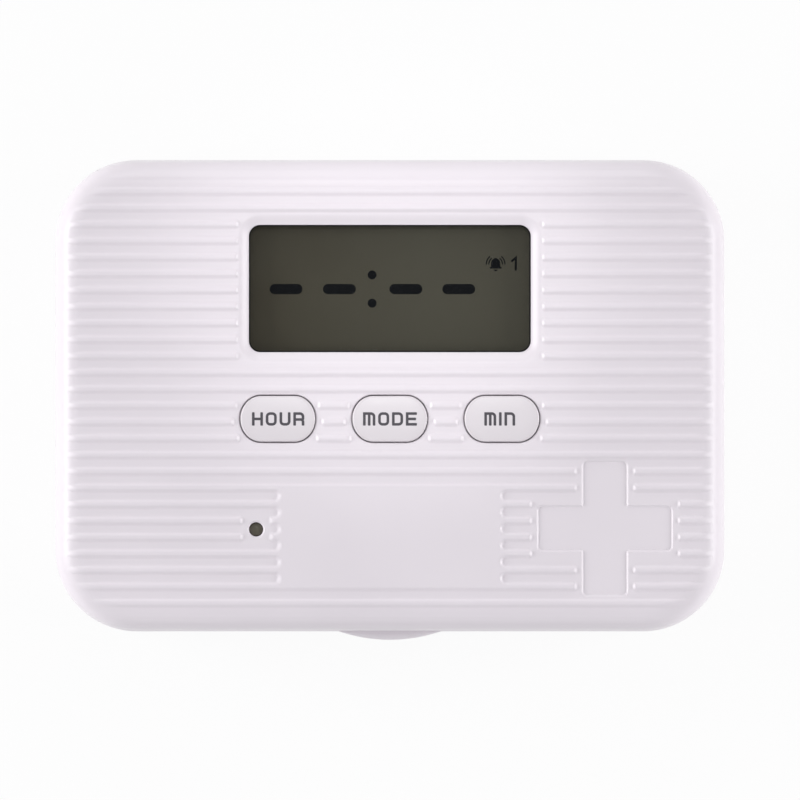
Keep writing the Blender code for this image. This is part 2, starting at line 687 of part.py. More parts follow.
def rib_stretches():
    """Every rib piece of the face as (left, right, y)."""
    pieces = []
    for index in range(RIB_COUNT):
        y = (index - (RIB_COUNT - 1) / 2) * RIB_PITCH
        left = -rib_span(y)
        end = rib_span(y)
        for gap_left, gap_right in face_gaps(y):
            if gap_left - left > RIB_WIDTH:
                pieces.append((left, gap_left, y))
            left = gap_right
        pieces.append((left, end, y))
    return pieces


def rib_rings(left, right, y):
    """The rings of one raised rib with round ends and a round crown."""
    rings = []
    for narrow_share, height_share in RIB_SECTION_SHARES:
        narrowing = RIB_WIDTH * narrow_share
        width = RIB_WIDTH - 2 * narrowing
        outline = stadium_outline(((left + right) / 2, y), right - left - 2 * narrowing, width, width / 2,
                                  RIB_END_STEPS)
        rings.append(level(outline, FACE_Z + RIB_HEIGHT * height_share))
    return rings


def plus_outline(inset):
    """The cross of the face, drawn in by an inset."""
    long = CROSS_SPAN / 2 - inset
    short = CROSS_ARM / 2 - inset
    quarter = [(short, -long), (short, -short), (long, -short)]
    points = []
    for cosine, sine in ((1, 0), (0, 1), (-1, 0), (0, -1)):
        points += [(CROSS_X + x * cosine - y * sine, CROSS_Y + x * sine + y * cosine) for x, y in quarter]
    return points


def lip_rings():
    """The rings of the thumb lip, a shallow arc that stands out from the lid's front rim."""
    sagitta_radius = ((LIP_WIDTH / 2) ** 2 + LIP_REACH ** 2) / (2 * LIP_REACH)
    half_sweep = math.asin(LIP_WIDTH / 2 / sagitta_radius)
    bow = arc((0.0, sagitta_radius), sagitta_radius, sagitta_radius, -QUARTER_TURN - half_sweep,
              2 * half_sweep, LIP_STEPS)
    rooted_y = -HALF_DEPTH + SIDE_WALL / 2
    rings = []
    for reach_share, drop_share in LIP_PROFILE_SHARES:
        points = [(x, -HALF_DEPTH + (y - LIP_REACH) * reach_share) for x, y in bow]
        points += [(LIP_WIDTH / 2, rooted_y), (-LIP_WIDTH / 2, rooted_y)]
        rings.append(level(points, LID_RIM_Z + LIP_HEIGHT - LIP_ROUND * drop_share))
    rings.insert(0, [(x, y, LID_RIM_Z) for x, y, _ in rings[0]])
    return rings


def window_outline(outset):
    """The display opening's plan, grown outwards by an outset."""
    return even_outline((0.0, WINDOW_Y), WINDOW_WIDTH + 2 * outset, WINDOW_HEIGHT + 2 * outset,
                        WINDOW_RADIUS + outset, WELL_STEPS)


def window_rings():
    """The rings of the cutter for the display opening and the dish round it."""
    rings = [level(window_outline(0.0), CEILING_Z - OVERRUN)]
    for step in range(DISH_STEPS + 1):
        turn = QUARTER_TURN * step / DISH_STEPS
        rings.append(level(window_outline(DISH_WIDTH * math.sin(turn)),
                           DISH_FLOOR_Z + DISH_DEPTH * (1 - math.cos(turn))))
    rings.append(level(window_outline(DISH_WIDTH), FACE_Z + OVERRUN))
    return rings


def build_lid_shell():
    """The upper shell: ribbed face, openings, cross, thumb lip, hinge knuckles, bosses and posts."""
    side_top = FACE_Z - LID_EDGE_RADIUS
    rings = [level(box_outline(RIM_BREAK, RIM_BREAK), LID_RIM_Z),
             level(box_outline(0.0, 0.0), LID_RIM_Z + RIM_BREAK)]
    for step in range(EDGE_STEPS + 1):
        turn = QUARTER_TURN * step / EDGE_STEPS
        inset = LID_DRAFT + LID_EDGE_RADIUS * (1 - math.cos(turn))
        rings.append(level(box_outline(inset, inset), side_top + LID_EDGE_RADIUS * math.sin(turn)))
    shell = solid("lid_shell", "white_shell", add_loft, rings)
    hollow = [level(box_outline(SIDE_WALL, HINGE_WALL, HOLLOW_STEPS), LID_RIM_Z - OVERRUN),
              level(box_outline(SIDE_WALL, HINGE_WALL, HOLLOW_STEPS), LID_RIM_Z)]
    for step in range(INNER_EDGE_STEPS + 1):
        turn = QUARTER_TURN * step / INNER_EDGE_STEPS
        inset = LID_DRAFT + LID_INNER_RADIUS * (1 - math.cos(turn))
        height = CEILING_Z - LID_INNER_RADIUS * (1 - math.sin(turn))
        hollow.append(level(box_outline(SIDE_WALL + inset, HINGE_WALL + inset, HOLLOW_STEPS), height))
    cut(shell, (add_loft, hollow))
    cut(shell, (add_loft, hinge_wedge(1)))
    cut(shell, *[(add_hinge_rod, centre, BASE_KNUCKLE_WIDTH + 2 * SEAT_GAP, POCKET_RADIUS)
                 for station in STATIONS.values() for centre in base_knuckle_centres(station)])
    join(shell, *[(add_hinge_rod, station, LID_KNUCKLE_WIDTH, KNUCKLE_RADIUS)
                  for station in STATIONS.values()])
    cut(shell, *[(add_hinge_rod, station, STATION_WIDTH + 2 * OVERRUN, BORE_RADIUS)
                 for station in STATIONS.values()])
    join(shell, (add_loft, lip_rings()))
    panel = [level(even_outline((0.0, PANEL_Y), PANEL_WIDTH - 2 * inset, PANEL_HEIGHT - 2 * inset,
                                PANEL_RADIUS, PANEL_STEPS), FACE_Z + height)
             for inset, height in ((-PANEL_SLOPE, -PANEL_RISE), (PANEL_SLOPE, PANEL_RISE))]
    join(shell, (add_loft, panel))
    join(shell, *[(add_loft, rib_rings(*stretch)) for stretch in rib_stretches()])
    cut(shell, (add_loft, window_rings()))
    keyways = []
    for x in BUTTON_PLACES.values():
        keyways.append((add_loft, [level(key_outline(x, 0.0), CEILING_Z - OVERRUN),
                                   level(key_outline(x, 0.0), FACE_Z - RIM_BREAK),
                                   level(key_outline(x, RIM_BREAK), FACE_Z),
                                   level(key_outline(x, RIM_BREAK), FACE_Z + OVERRUN)]))
    cut(shell, *keyways)
    lamp_top = FACE_Z + RIB_HEIGHT
    lamp_wide = LAMP_HOLE_RADIUS + LAMP_CHAMFER
    cut(shell, (add_turned, (LAMP_X, LAMP_Y), [(LAMP_HOLE_RADIUS, CEILING_Z - OVERRUN),
                                               (LAMP_HOLE_RADIUS, FACE_Z - LAMP_CHAMFER),
                                               (lamp_wide, FACE_Z), (lamp_wide, lamp_top + OVERRUN)]))
    cut(shell, (add_loft, [level(plus_outline(CROSS_SLOPE), FACE_Z - CROSS_DEPTH),
                           level(plus_outline(0.0), FACE_Z), level(plus_outline(0.0), FACE_Z + OVERRUN)]))
    rooted = CEILING_Z + TOP_WALL / 2
    posts = [(add_post, place, BOARD_POST_RADIUS, ON_BOARD_Z, rooted) for place in BOARD_SCREWS.values()]
    posts += [(add_post, place, LID_BOSS_RADIUS, COVER_BOSS_TOP_Z + SEAT_GAP, rooted)
              for place in COVER_SCREWS.values()]
    join(shell, *posts)
    pilots = [(add_post, place, BOARD_SHANK_RADIUS + SEAT_GAP, ON_BOARD_Z - OVERRUN,
               UNDER_BOARD_Z + BOARD_SHANK_LENGTH + SEAT_GAP) for place in BOARD_SCREWS.values()]
    pilots += [(add_post, place, COVER_SHANK_RADIUS + SEAT_GAP, COVER_BOSS_TOP_Z - OVERRUN,
                COVER_SHANK_TOP_Z + SEAT_GAP) for place in COVER_SCREWS.values()]
    cut(shell, *pilots)
    groove_z = BASE_RIM_HEIGHT + (STEP_RISE - STEP_BREAK) / 2
    groove_half = LATCH_WIDTH / 2 + SEAT_GAP
    wall_y = -HALF_DEPTH + SIDE_WALL
    groove_low = (-groove_half, wall_y - LATCH_PROUD, groove_z - LATCH_HEIGHT)
    groove_high = (groove_half, wall_y + OVERRUN, groove_z + LATCH_HEIGHT)
    cut(shell, (add_block, groove_low, groove_high))
    return shell


# Display

def build_display():
    """The clear pane, the display glass, its holder and the rubber contact strip."""
    pane = solid("display_window", "clear_pane", add_loft, [
        level(window_outline(PANE_FLANGE), PANE_LOW_Z),
        level(window_outline(PANE_FLANGE), HUNG_Z),
        level(window_outline(-PANE_PLAY), HUNG_Z),
        level(window_outline(-PANE_PLAY), DISH_FLOOR_Z - PANE_SUNK - PANE_BREAK),
        level(window_outline(-PANE_PLAY - PANE_BREAK), DISH_FLOOR_Z - PANE_SUNK)])
    centre = (0.0, WINDOW_Y)
    glass = solid("display_glass", "display_glass", add_prism,
                  even_outline(centre, GLASS_WIDTH, GLASS_HEIGHT, SEAT_GAP, 1), GLASS_LOW_Z, GLASS_TOP_Z)
    seat_width = GLASS_WIDTH + 2 * SEAT_GAP
    seat_height = GLASS_HEIGHT + 2 * SEAT_GAP
    frame = even_outline(centre, seat_width + 2 * HOLDER_WALL, seat_height + 2 * HOLDER_WALL,
                         HOLDER_WALL / 2, HOLDER_STEPS)
    holder = solid("display_holder", "holder_plastic", add_prism, frame, ON_BOARD_Z, GLASS_TOP_Z)
    seat = even_outline(centre, seat_width, seat_height, SEAT_GAP, 1)
    throat = even_outline(centre, seat_width - 2 * HOLDER_LEDGE, seat_height - 2 * HOLDER_LEDGE,
                          SEAT_GAP, 1)
    cut(holder, (add_prism, seat, GLASS_LOW_Z - SEAT_GAP, GLASS_TOP_Z + OVERRUN))
    cut(holder, (add_prism, throat, ON_BOARD_Z - OVERRUN, GLASS_LOW_Z + OVERRUN))
    strip_y = WINDOW_Y - seat_height / 2 + HOLDER_LEDGE + SEAT_GAP + STRIP_WIDTH / 2
    strip_half = GLASS_WIDTH * STRIP_SHARE / 2
    strip = solid("contact_strip", "contact_rubber", add_block,
                  (-strip_half, strip_y - STRIP_WIDTH / 2, ON_BOARD_Z),
                  (strip_half, strip_y + STRIP_WIDTH / 2, GLASS_LOW_Z - SEAT_GAP))
    return [pane, glass, holder, strip]


# Buttons and their switches

def build_button(name, x):
    """One button: oval cap with a softly crowned top, a retaining flange and a stem."""
    sides = 2 * (BUTTON_END_STEPS + 1)
    top = FACE_Z + BUTTON_PROUD
    stem = circle_outline((x, BUTTON_Y), BUTTON_STEM_RADIUS, sides)
    rings = [
        level(stem, KEY_FLANGE_Z - BUTTON_STEM),
        level(stem, KEY_FLANGE_Z),
        level(key_outline(x, BUTTON_FLANGE), KEY_FLANGE_Z),
        level(key_outline(x, BUTTON_FLANGE), HUNG_Z),
        level(key_outline(x, -BUTTON_GAP), HUNG_Z),
        level(key_outline(x, -BUTTON_GAP), top - BUTTON_EDGE),
        level(key_outline(x, -BUTTON_GAP - BUTTON_EDGE / 3), top - BUTTON_EDGE / 3),
        level(key_outline(x, -BUTTON_GAP - BUTTON_EDGE), top),
        level(key_outline(x, -BUTTON_GAP - BUTTON_END / 2), top + BUTTON_CROWN),
    ]
    return solid(name, "white_key", add_loft, rings)


def build_switch(name, x):
    """One push switch body with the well its plunger slides in."""
    switch = solid(name, "switch_black", add_prism,
                   even_outline((x, BUTTON_Y), SWITCH_SIZE, SWITCH_SIZE, SEAT_GAP, 1), ON_BOARD_Z,
                   ON_BOARD_Z + SWITCH_HEIGHT)
    switch_top = ON_BOARD_Z + SWITCH_HEIGHT
    cut(switch, (add_post, (x, BUTTON_Y), PLUNGER_RADIUS + SEAT_GAP, switch_top - SWITCH_WELL_DEPTH,
                 switch_top + OVERRUN))
    return switch


def build_plunger(name, x):
    """The plunger that a button presses into its switch."""
    low = ON_BOARD_Z + SWITCH_HEIGHT - SWITCH_WELL_DEPTH + BUTTON_TRAVEL + SEAT_GAP
    return solid(name, "switch_black", add_post, (x, BUTTON_Y), PLUNGER_RADIUS, low, PLUNGER_TOP_Z)


# Circuit board

def build_board():
    """The circuit board, with a leg that runs past the battery bay to the indicator lamp."""
    left = -BOARD_HALF_WIDTH
    right = BOARD_HALF_WIDTH
    outline = [(left, BOARD_LEG_FRONT_Y), (BOARD_LEG_RIGHT, BOARD_LEG_FRONT_Y),
               (BOARD_LEG_RIGHT, BOARD_FRONT_Y), (right - BOARD_CORNER, BOARD_FRONT_Y),
               (right, BOARD_FRONT_Y + BOARD_CORNER),
               (right, BOARD_REAR_Y - BOARD_CORNER), (right - BOARD_CORNER, BOARD_REAR_Y),
               (left + BOARD_CORNER, BOARD_REAR_Y), (left, BOARD_REAR_Y - BOARD_CORNER)]
    board = solid("circuit_board", "board_green", add_prism, outline, BOARD_LOW_Z, BOARD_TOP_Z)
    cut(board, *[(add_post, place, BOARD_SHANK_RADIUS + SEAT_GAP, BOARD_LOW_Z - OVERRUN,
                  BOARD_TOP_Z + OVERRUN) for place in BOARD_SCREWS.values()])
    return board


def build_board_parts():
    """What the board carries apart from the switches: buzzer, chip, crystal and indicator lamp."""
    buzzer_top = ON_BOARD_Z + BUZZER_HEIGHT
    buzzer = solid("buzzer", "black_resin", add_post, (BUZZER_X, BUZZER_Y), BUZZER_RADIUS, ON_BOARD_Z,
                   buzzer_top, sides=BUZZER_SIDES)
    cut(buzzer, (add_post, (BUZZER_X, BUZZER_Y), BUZZER_PORT_RADIUS, buzzer_top - BUZZER_PORT_DEPTH,
                 buzzer_top + OVERRUN))
    turns = [QUARTER_TURN * step / DOME_STEPS for step in range(DOME_STEPS)]
    dome = [(CHIP_RADIUS * math.sin(turn + turns[1]), UNDER_BOARD_Z - CHIP_HEIGHT * math.cos(turn))
            for turn in turns]
    dome.append((CHIP_RADIUS, UNDER_BOARD_Z))
    chip = solid("timer_chip", "black_resin", add_turned, (CHIP_X, CHIP_Y), dome)
    crystal = solid("clock_crystal", "nickel", add_rod,
                    (CRYSTAL_X, CRYSTAL_Y, UNDER_BOARD_Z - CRYSTAL_RADIUS), CRYSTAL_LENGTH,
                    [(0, CRYSTAL_RADIUS), (1, CRYSTAL_RADIUS)])
    profile = [(LAMP_FLANGE_RADIUS, ON_BOARD_Z), (LAMP_FLANGE_RADIUS, ON_BOARD_Z + LAMP_FLANGE_THICKNESS),
               (LAMP_RADIUS, ON_BOARD_Z + LAMP_FLANGE_THICKNESS)]
    for turn in turns:
        profile.append((LAMP_RADIUS * math.cos(turn), HUNG_Z - LAMP_RADIUS * (1 - math.sin(turn))))
    profile.append((LAMP_RADIUS * LEAST_ROUND_SHARE, HUNG_Z))
    lamp = solid("indicator_lamp", "lamp_resin", add_turned, (LAMP_X, LAMP_Y), profile)
    return [buzzer, chip, crystal, lamp]


# Battery bay contents

def cell_profile():
    """A cell's turned outline from its flat end to its button end, as (share of length, radius)."""
    edge = CELL_EDGE / CELL_LENGTH
    shoulder = 1 - CELL_BUTTON_LENGTH / CELL_LENGTH
    return [(0, CELL_RADIUS - CELL_EDGE), (edge, CELL_RADIUS), (shoulder - edge, CELL_RADIUS),
            (shoulder, CELL_RADIUS - CELL_EDGE), (shoulder, CELL_BUTTON_RADIUS), (1, CELL_BUTTON_RADIUS)]


def build_cells():
    """Two cells lying side by side, head to tail."""
    front_y = BAY_Y - CELL_PITCH / 2
    rear_y = BAY_Y + CELL_PITCH / 2
    front = solid("front_cell", "cell_jacket", add_rod, (BAY_LEFT + SPRING_ROOM, front_y, CELL_Z),
                  CELL_LENGTH, cell_profile(), sides=CELL_SIDES)
    mirrored = [(1 - share, radius) for share, radius in reversed(cell_profile())]
    rear = solid("rear_cell", "cell_jacket", add_rod, (BAY_LEFT + PLATE_ROOM, rear_y, CELL_Z),
                 CELL_LENGTH, mirrored, sides=CELL_SIDES)
    return [front, rear]


def build_spring(name, seat_x, direction, y):
    """A tapering coil spring between a contact plate and a cell's flat end."""
    start = seat_x + direction * (SEAT_GAP + PLATE_THICKNESS + SEAT_GAP + SPRING_WIRE)
    finish = seat_x + direction * (SPRING_ROOM - SEAT_GAP - SPRING_WIRE)
    curve = bpy.data.curves.new(name, "CURVE")
    curve.dimensions = "3D"
    curve.bevel_depth = SPRING_WIRE
    curve.bevel_resolution = 1
    curve.use_fill_caps = True
    curve.materials.append(material("steel"))
    count = int(SPRING_TURNS * SPRING_TURN_POINTS) + 1
    spline = curve.splines.new("POLY")
    spline.points.add(count - 1)
    for index, point in enumerate(spline.points):
        share = index / (count - 1)
        turn = FULL_TURN * SPRING_TURNS * share
        radius = SPRING_BASE_RADIUS + (SPRING_TIP_RADIUS - SPRING_BASE_RADIUS) * share
        x = start + (finish - start) * share
        point.co = (x, y + radius * math.cos(turn), CELL_Z + radius * math.sin(turn), 1.0)
    made = bpy.data.objects.new(name, curve)
    bpy.context.collection.objects.link(made)
    return made


def add_contact(mesh, plate_x, y_low, y_high):
    """A flat contact plate standing across the bay."""
    add_block(mesh, (plate_x, y_low, CELL_Z - PLATE_HEIGHT / 2),
              (plate_x + PLATE_THICKNESS, y_high, CELL_Z + PLATE_HEIGHT / 2))


def tail_bounds(y):
    """The corners of the tail that leads from a contact plate over the board's leg."""
    return ((BOARD_LEG_RIGHT - TAIL_OVERLAP, y - TAIL_WIDTH / 2, ON_BOARD_Z),
            (BAY_LEFT + SEAT_GAP + PLATE_THICKNESS / 2, y + TAIL_WIDTH / 2, ON_BOARD_Z + PLATE_THICKNESS))


def build_contacts():
    """Contact plates and springs: two plates with tails at the left, one bridge at the right."""
    front_y = BAY_Y - CELL_PITCH / 2
    rear_y = BAY_Y + CELL_PITCH / 2
    half = PLATE_WIDTH / 2
    made = []
    for name, y in (("negative_plate", front_y), ("positive_plate", rear_y)):
        plate = solid(name, "steel", add_contact, BAY_LEFT + SEAT_GAP, y - half, y + half)
        join(plate, (add_block, *tail_bounds(y)))
        made.append(plate)
    bridge_x = BAY_RIGHT - SEAT_GAP - PLATE_THICKNESS
    made.append(solid("bridge_plate", "steel", add_contact, bridge_x, front_y - half, rear_y + half))
    made.append(build_spring("negative_spring", BAY_LEFT, 1, front_y))
    made.append(build_spring("bridge_spring", BAY_RIGHT, -1, rear_y))
    return made


# Inner cover and battery door

def door_tabs(x_grow, y_grow, low, high):
    """Blocks for the door's four tabs, each grown by a play along the door and across it."""
    blocks = []
    for share in DOOR_TAB_SHARES:
        left = BAY_LEFT + BAY_LENGTH * share
        for side in (-1, 1):
            inner = BAY_Y + side * (BAY_HALF_DEPTH - OVERRUN)
            outer = BAY_Y + side * (BAY_HALF_DEPTH - SEAT_GAP + DOOR_TAB_REACH + y_grow)
            blocks.append((add_block, (left - x_grow[0], min(inner, outer), low),
                           (left + DOOR_TAB_LENGTH + x_grow[1], max(inner, outer), high)))
    return blocks


def build_inner_cover():
    """The cover that closes the lid from below, with battery bay, door track and sound slots."""
    outline = box_outline(COVER_INSET, HINGE_WALL + LID_DRAFT + SEAT_GAP)
    cover = solid("inner_cover", "white_shell", add_prism, outline, COVER_LOW_Z, COVER_TOP_Z)
    walls_low = (BAY_LEFT - BAY_WALL, BAY_Y - BAY_HALF_DEPTH - BAY_WALL, COVER_LOW_Z + COVER_THICKNESS / 2)
    walls_high = (BAY_RIGHT + BAY_WALL, BAY_Y + BAY_HALF_DEPTH + BAY_WALL, HUNG_Z)
    pad_high = (BAY_RIGHT + SEAT_GAP + DOOR_TRAVEL + BAY_WALL, BAY_Y + BAY_HALF_DEPTH + BAY_WALL,
                COVER_TOP_Z + POCKET_PAD)
    pad_low = (BAY_RIGHT, BAY_Y - BAY_HALF_DEPTH - BAY_WALL, COVER_LOW_Z + COVER_THICKNESS / 2)
    join(cover, (add_block, walls_low, walls_high))
    join(cover, (add_block, pad_low, pad_high))
    join(cover, *[(add_post, place, COVER_BOSS_RADIUS, COVER_LOW_Z + COVER_THICKNESS / 2, COVER_BOSS_TOP_Z)
                  for place in COVER_SCREWS.values()])
    cut(cover, (add_block, (BAY_LEFT, BAY_Y - BAY_HALF_DEPTH, COVER_LOW_Z - OVERRUN),
                (BAY_RIGHT, BAY_Y + BAY_HALF_DEPTH, HUNG_Z + OVERRUN)))
    cut(cover, (add_block, (BAY_RIGHT - OVERRUN, BAY_Y - BAY_HALF_DEPTH, COVER_LOW_Z - OVERRUN),
                (BAY_RIGHT + SEAT_GAP + DOOR_TRAVEL, BAY_Y + BAY_HALF_DEPTH, DOOR_TOP_Z + SEAT_GAP)))
    slot_low = COVER_LOW_Z + DOOR_LIP
    slot_high = slot_low + DOOR_TAB_THICKNESS + 2 * SEAT_GAP
    cut(cover, *door_tabs((SEAT_GAP, DOOR_TRAVEL + SEAT_GAP), SEAT_GAP, slot_low, slot_high))
    cut(cover, *door_tabs((SEAT_GAP - DOOR_TRAVEL, DOOR_TRAVEL + SEAT_GAP), SEAT_GAP, COVER_LOW_Z - OVERRUN,
                          slot_low + DOOR_TAB_THICKNESS))
    tails = []
    for y in (BAY_Y - CELL_PITCH / 2, BAY_Y + CELL_PITCH / 2):
        low, high = tail_bounds(y)
        tails.append((add_block, (low[0], low[1] - SEAT_GAP, low[2] - SEAT_GAP),
                      (BAY_LEFT + OVERRUN, high[1] + SEAT_GAP, HUNG_Z + OVERRUN)))
    cut(cover, *tails)
    bores = []
    for place in COVER_SCREWS.values():
        bores.append((add_turned, place, [
            (COVER_HEAD_RADIUS + SEAT_GAP, COVER_LOW_Z - OVERRUN),
            (COVER_HEAD_RADIUS + SEAT_GAP, COVER_BOSS_TOP_Z - COVER_BOSS_FLOOR),
            (COVER_SHANK_RADIUS + SEAT_GAP, COVER_BOSS_TOP_Z - COVER_BOSS_FLOOR),
            (COVER_SHANK_RADIUS + SEAT_GAP, COVER_BOSS_TOP_Z + OVERRUN)]))
    cut(cover, *bores)
    slots = []
    for index in range(SOUND_SLOT_COUNT):
        y = BUZZER_Y + (index - (SOUND_SLOT_COUNT - 1) / 2) * SOUND_SLOT_PITCH
        outline = stadium_outline((BUZZER_X, y), SOUND_SLOT_LENGTH, SOUND_SLOT_WIDTH,
                                  SOUND_SLOT_WIDTH / 2, RIB_END_STEPS)
        slots.append((add_prism, outline, COVER_LOW_Z - OVERRUN, COVER_TOP_Z + OVERRUN))
    cut(cover, *slots)
    return cover


def build_battery_door():
    """The sliding battery door: a plate with four tabs and three grip grooves."""
    door = solid("battery_door", "white_shell", add_block,
                 (BAY_LEFT + SEAT_GAP, BAY_Y - BAY_HALF_DEPTH + SEAT_GAP, COVER_LOW_Z),
                 (BAY_RIGHT - SEAT_GAP, BAY_Y + BAY_HALF_DEPTH - SEAT_GAP, DOOR_TOP_Z))
    tab_low = COVER_LOW_Z + DOOR_LIP + SEAT_GAP
    join(door, *door_tabs((0.0, 0.0), 0.0, tab_low, tab_low + DOOR_TAB_THICKNESS))
    grooves = []
    for index in range(DOOR_GRIP_COUNT):
        x = BAY_RIGHT - DOOR_GRIP_INSET - index * DOOR_GRIP_PITCH
        grooves.append((add_block, (x, BAY_Y - DOOR_GRIP_LENGTH / 2, COVER_LOW_Z - OVERRUN),
                        (x + DOOR_GRIP_WIDTH, BAY_Y + DOOR_GRIP_LENGTH / 2, COVER_LOW_Z + DOOR_GRIP_DEPTH)))
    cut(door, *grooves)
    return door


# Screws and pins

def build_screw(name, place, head_low, head_radius, head_height, shank_radius, shank_length):
    """A pan-head screw pointing up, with a round driving socket in its head."""
    head_top = head_low + head_height
    tip = head_top + shank_length
    profile = [(head_radius - head_height / 4, head_low), (head_radius, head_low + head_height / 3),
               (head_radius, head_top), (shank_radius, head_top), (shank_radius, tip - shank_radius),
               (shank_radius / 3, tip)]
    screw = solid(name, "nickel", add_turned, place, profile, sides=SCREW_SIDES)
    socket = [(SCREW_SOCKET_RADIUS, head_low - OVERRUN),
              (SCREW_SOCKET_RADIUS, head_low + SCREW_SOCKET_DEPTH / 2),
              (SCREW_SOCKET_RADIUS / 3, head_low + SCREW_SOCKET_DEPTH)]
    cut(screw, (add_turned, place, socket, SOCKET_SIDES))
    return screw


def build_pin(name, station):
    """A steel pin through one hinge station."""
    return solid(name, "steel", add_rod, (station - STATION_WIDTH / 2, HINGE_Y, HINGE_Z), STATION_WIDTH,
                 [(0, PIN_RADIUS), (1, PIN_RADIUS)])


# Assembly

def build_lid_group(lid_axis):
    """Everything that rides on the lid."""
    pieces = [build_lid_shell(), build_inner_cover(), build_board()]
    pieces += build_display() + build_board_parts() + build_cells()
    for name, x in BUTTON_PLACES.items():
        pieces.append(build_switch(f"{name}_switch", x))
    for name, place in COVER_SCREWS.items():
        pieces.append(build_screw(name, place, COVER_LOW_Z + SEAT_GAP, COVER_HEAD_RADIUS, COVER_HEAD_HEIGHT,
                                  COVER_SHANK_RADIUS, COVER_SHANK_LENGTH))
    for name, place in BOARD_SCREWS.items():
        pieces.append(build_screw(name, place, UNDER_BOARD_Z - BOARD_HEAD_HEIGHT, BOARD_HEAD_RADIUS,
                                  BOARD_HEAD_HEIGHT, BOARD_SHANK_RADIUS, BOARD_SHANK_LENGTH))
    for piece in pieces:
        attach(piece, lid_axis)
    for contact in build_contacts():
        if contact.type == "CURVE":
            contact.data.transform(Matrix.Translation(-Vector(lid_axis["place"])))
            contact.parent = lid_axis
        else:
            attach(contact, lid_axis)


def main():
    """Build the whole box."""
    clear_scene()
    body = pivot("box_centre", (0.0, 0.0, 0.0))
    body.location = (0.0, CENTRE_Y, 0.0)
    attach(build_base_shell(), body)
    for side, station in STATIONS.items():
        attach(build_pin(f"hinge_pin_{side}", station), body, (station, HINGE_Y, HINGE_Z))
    lid_axis = pivot("lid_hinge_axis", (0.0, HINGE_Y, HINGE_Z), body)
    build_lid_group(lid_axis)
    for name, x in BUTTON_PLACES.items():
        seat = (x, BUTTON_Y, KEY_FLANGE_Z)
        attach(build_button(f"{name}_button", x), lid_axis, seat)
        attach(build_plunger(f"{name}_plunger", x), lid_axis, seat)
    attach(build_battery_door(), lid_axis, (BAY_LEFT, BAY_Y, COVER_LOW_Z))


main()
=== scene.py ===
"""Dressed model of a pill box with timer, in a plain white studio.

Every length in this file is in millimetres of the box's own plan frame: x to the right, y to the rear,
z up, with the middle of the box at x = y = 0. Pieces are turned into metres when they are finished, and the
studio is in metres throughout.
"""

from __future__ import annotations

import logging
import math
from dataclasses import dataclass, field
from enum import Enum
from typing import Callable, Iterable, Sequence

import bmesh
import bpy
from mathutils import Matrix, Vector


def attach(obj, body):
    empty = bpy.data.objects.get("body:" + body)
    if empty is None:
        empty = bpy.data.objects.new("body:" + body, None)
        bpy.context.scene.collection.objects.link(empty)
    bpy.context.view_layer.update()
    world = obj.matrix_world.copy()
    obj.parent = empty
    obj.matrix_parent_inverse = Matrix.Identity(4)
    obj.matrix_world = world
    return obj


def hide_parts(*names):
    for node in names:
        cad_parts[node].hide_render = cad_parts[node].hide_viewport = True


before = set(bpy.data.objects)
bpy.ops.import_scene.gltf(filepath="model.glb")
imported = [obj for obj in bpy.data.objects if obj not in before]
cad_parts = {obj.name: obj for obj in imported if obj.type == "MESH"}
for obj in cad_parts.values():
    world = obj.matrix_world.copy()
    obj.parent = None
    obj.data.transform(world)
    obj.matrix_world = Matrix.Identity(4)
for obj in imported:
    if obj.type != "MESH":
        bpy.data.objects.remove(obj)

LOG = logging.getLogger("pill_box")
METRES = 0.001
CENTRE_Y = 0.75  # the plan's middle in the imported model's own y
QUARTER = math.pi / 2
CRISP = 32.0  # edges sharper than this many degrees stay crisp
OVERRUN = 1.0  # how far a cutter stands out of what it cuts
KEY_STEPS = 28  # steps of each round end of a key's plan
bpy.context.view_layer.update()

Point = tuple[float, float]
Point3 = tuple[float, float, float]


class Body(Enum):
    """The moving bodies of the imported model."""

    BASE = "base"
    LID = "lid"
    HOUR = "hour_key"
    MODE = "mode_key"
    MINUTE = "minute_key"
    DOOR = "battery_cover"


class Slot(Enum):
    """The record's material slots."""

    SHELL = "white_shell"
    KEY = "white_key"
    PANE = "clear_pane"
    GLASS = "display_glass"
    HOLDER = "holder_plastic"
    RUBBER = "contact_rubber"
    BOARD = "board_green"
    RESIN = "black_resin"
    STEEL = "steel"
    NICKEL = "nickel"
    SWITCH = "switch_black"
    LAMP = "lamp_resin"
    CELL = "cell_jacket"


# Shading


class Field:
    """A scalar socket of a material, with arithmetic that adds Math nodes."""

    def __init__(self, shade: "Shade", socket: bpy.types.NodeSocket) -> None:
        self.shade = shade
        self.socket = socket

    def math(self, operation: str, *others: "Field | float") -> "Field":
        """A Math node on this value and up to two others."""
        return self.shade.math(operation, self, *others)

    def __add__(self, other: "Field | float") -> "Field":
        return self.math("ADD", other)

    def __sub__(self, other: "Field | float") -> "Field":
        return self.math("SUBTRACT", other)

    def __mul__(self, other: "Field | float") -> "Field":
        return self.math("MULTIPLY", other)

    def __truediv__(self, other: "Field | float") -> "Field":
        return self.math("DIVIDE", other)

    def __rsub__(self, other: float) -> "Field":
        return self.shade.math("SUBTRACT", other, self)

    def __rtruediv__(self, other: float) -> "Field":
        return self.shade.math("DIVIDE", other, self)

    def __neg__(self) -> "Field":
        return self * -1.0

    def __abs__(self) -> "Field":
        return self.math("ABSOLUTE")

    __radd__ = __add__
    __rmul__ = __mul__

    def clamped(self) -> "Field":
        """The value held between 0 and 1."""
        return self.math("MAXIMUM", 0.0).math("MINIMUM", 1.0)

    def ramp(self, low: float, high: float) -> "Field":
        """0 below low and 1 above high, with a straight run between."""
        return ((self - low) / (high - low)).clamped()

    def power(self, exponent: float) -> "Field":
        """The value raised to a power."""
        return self.math("POWER", exponent)


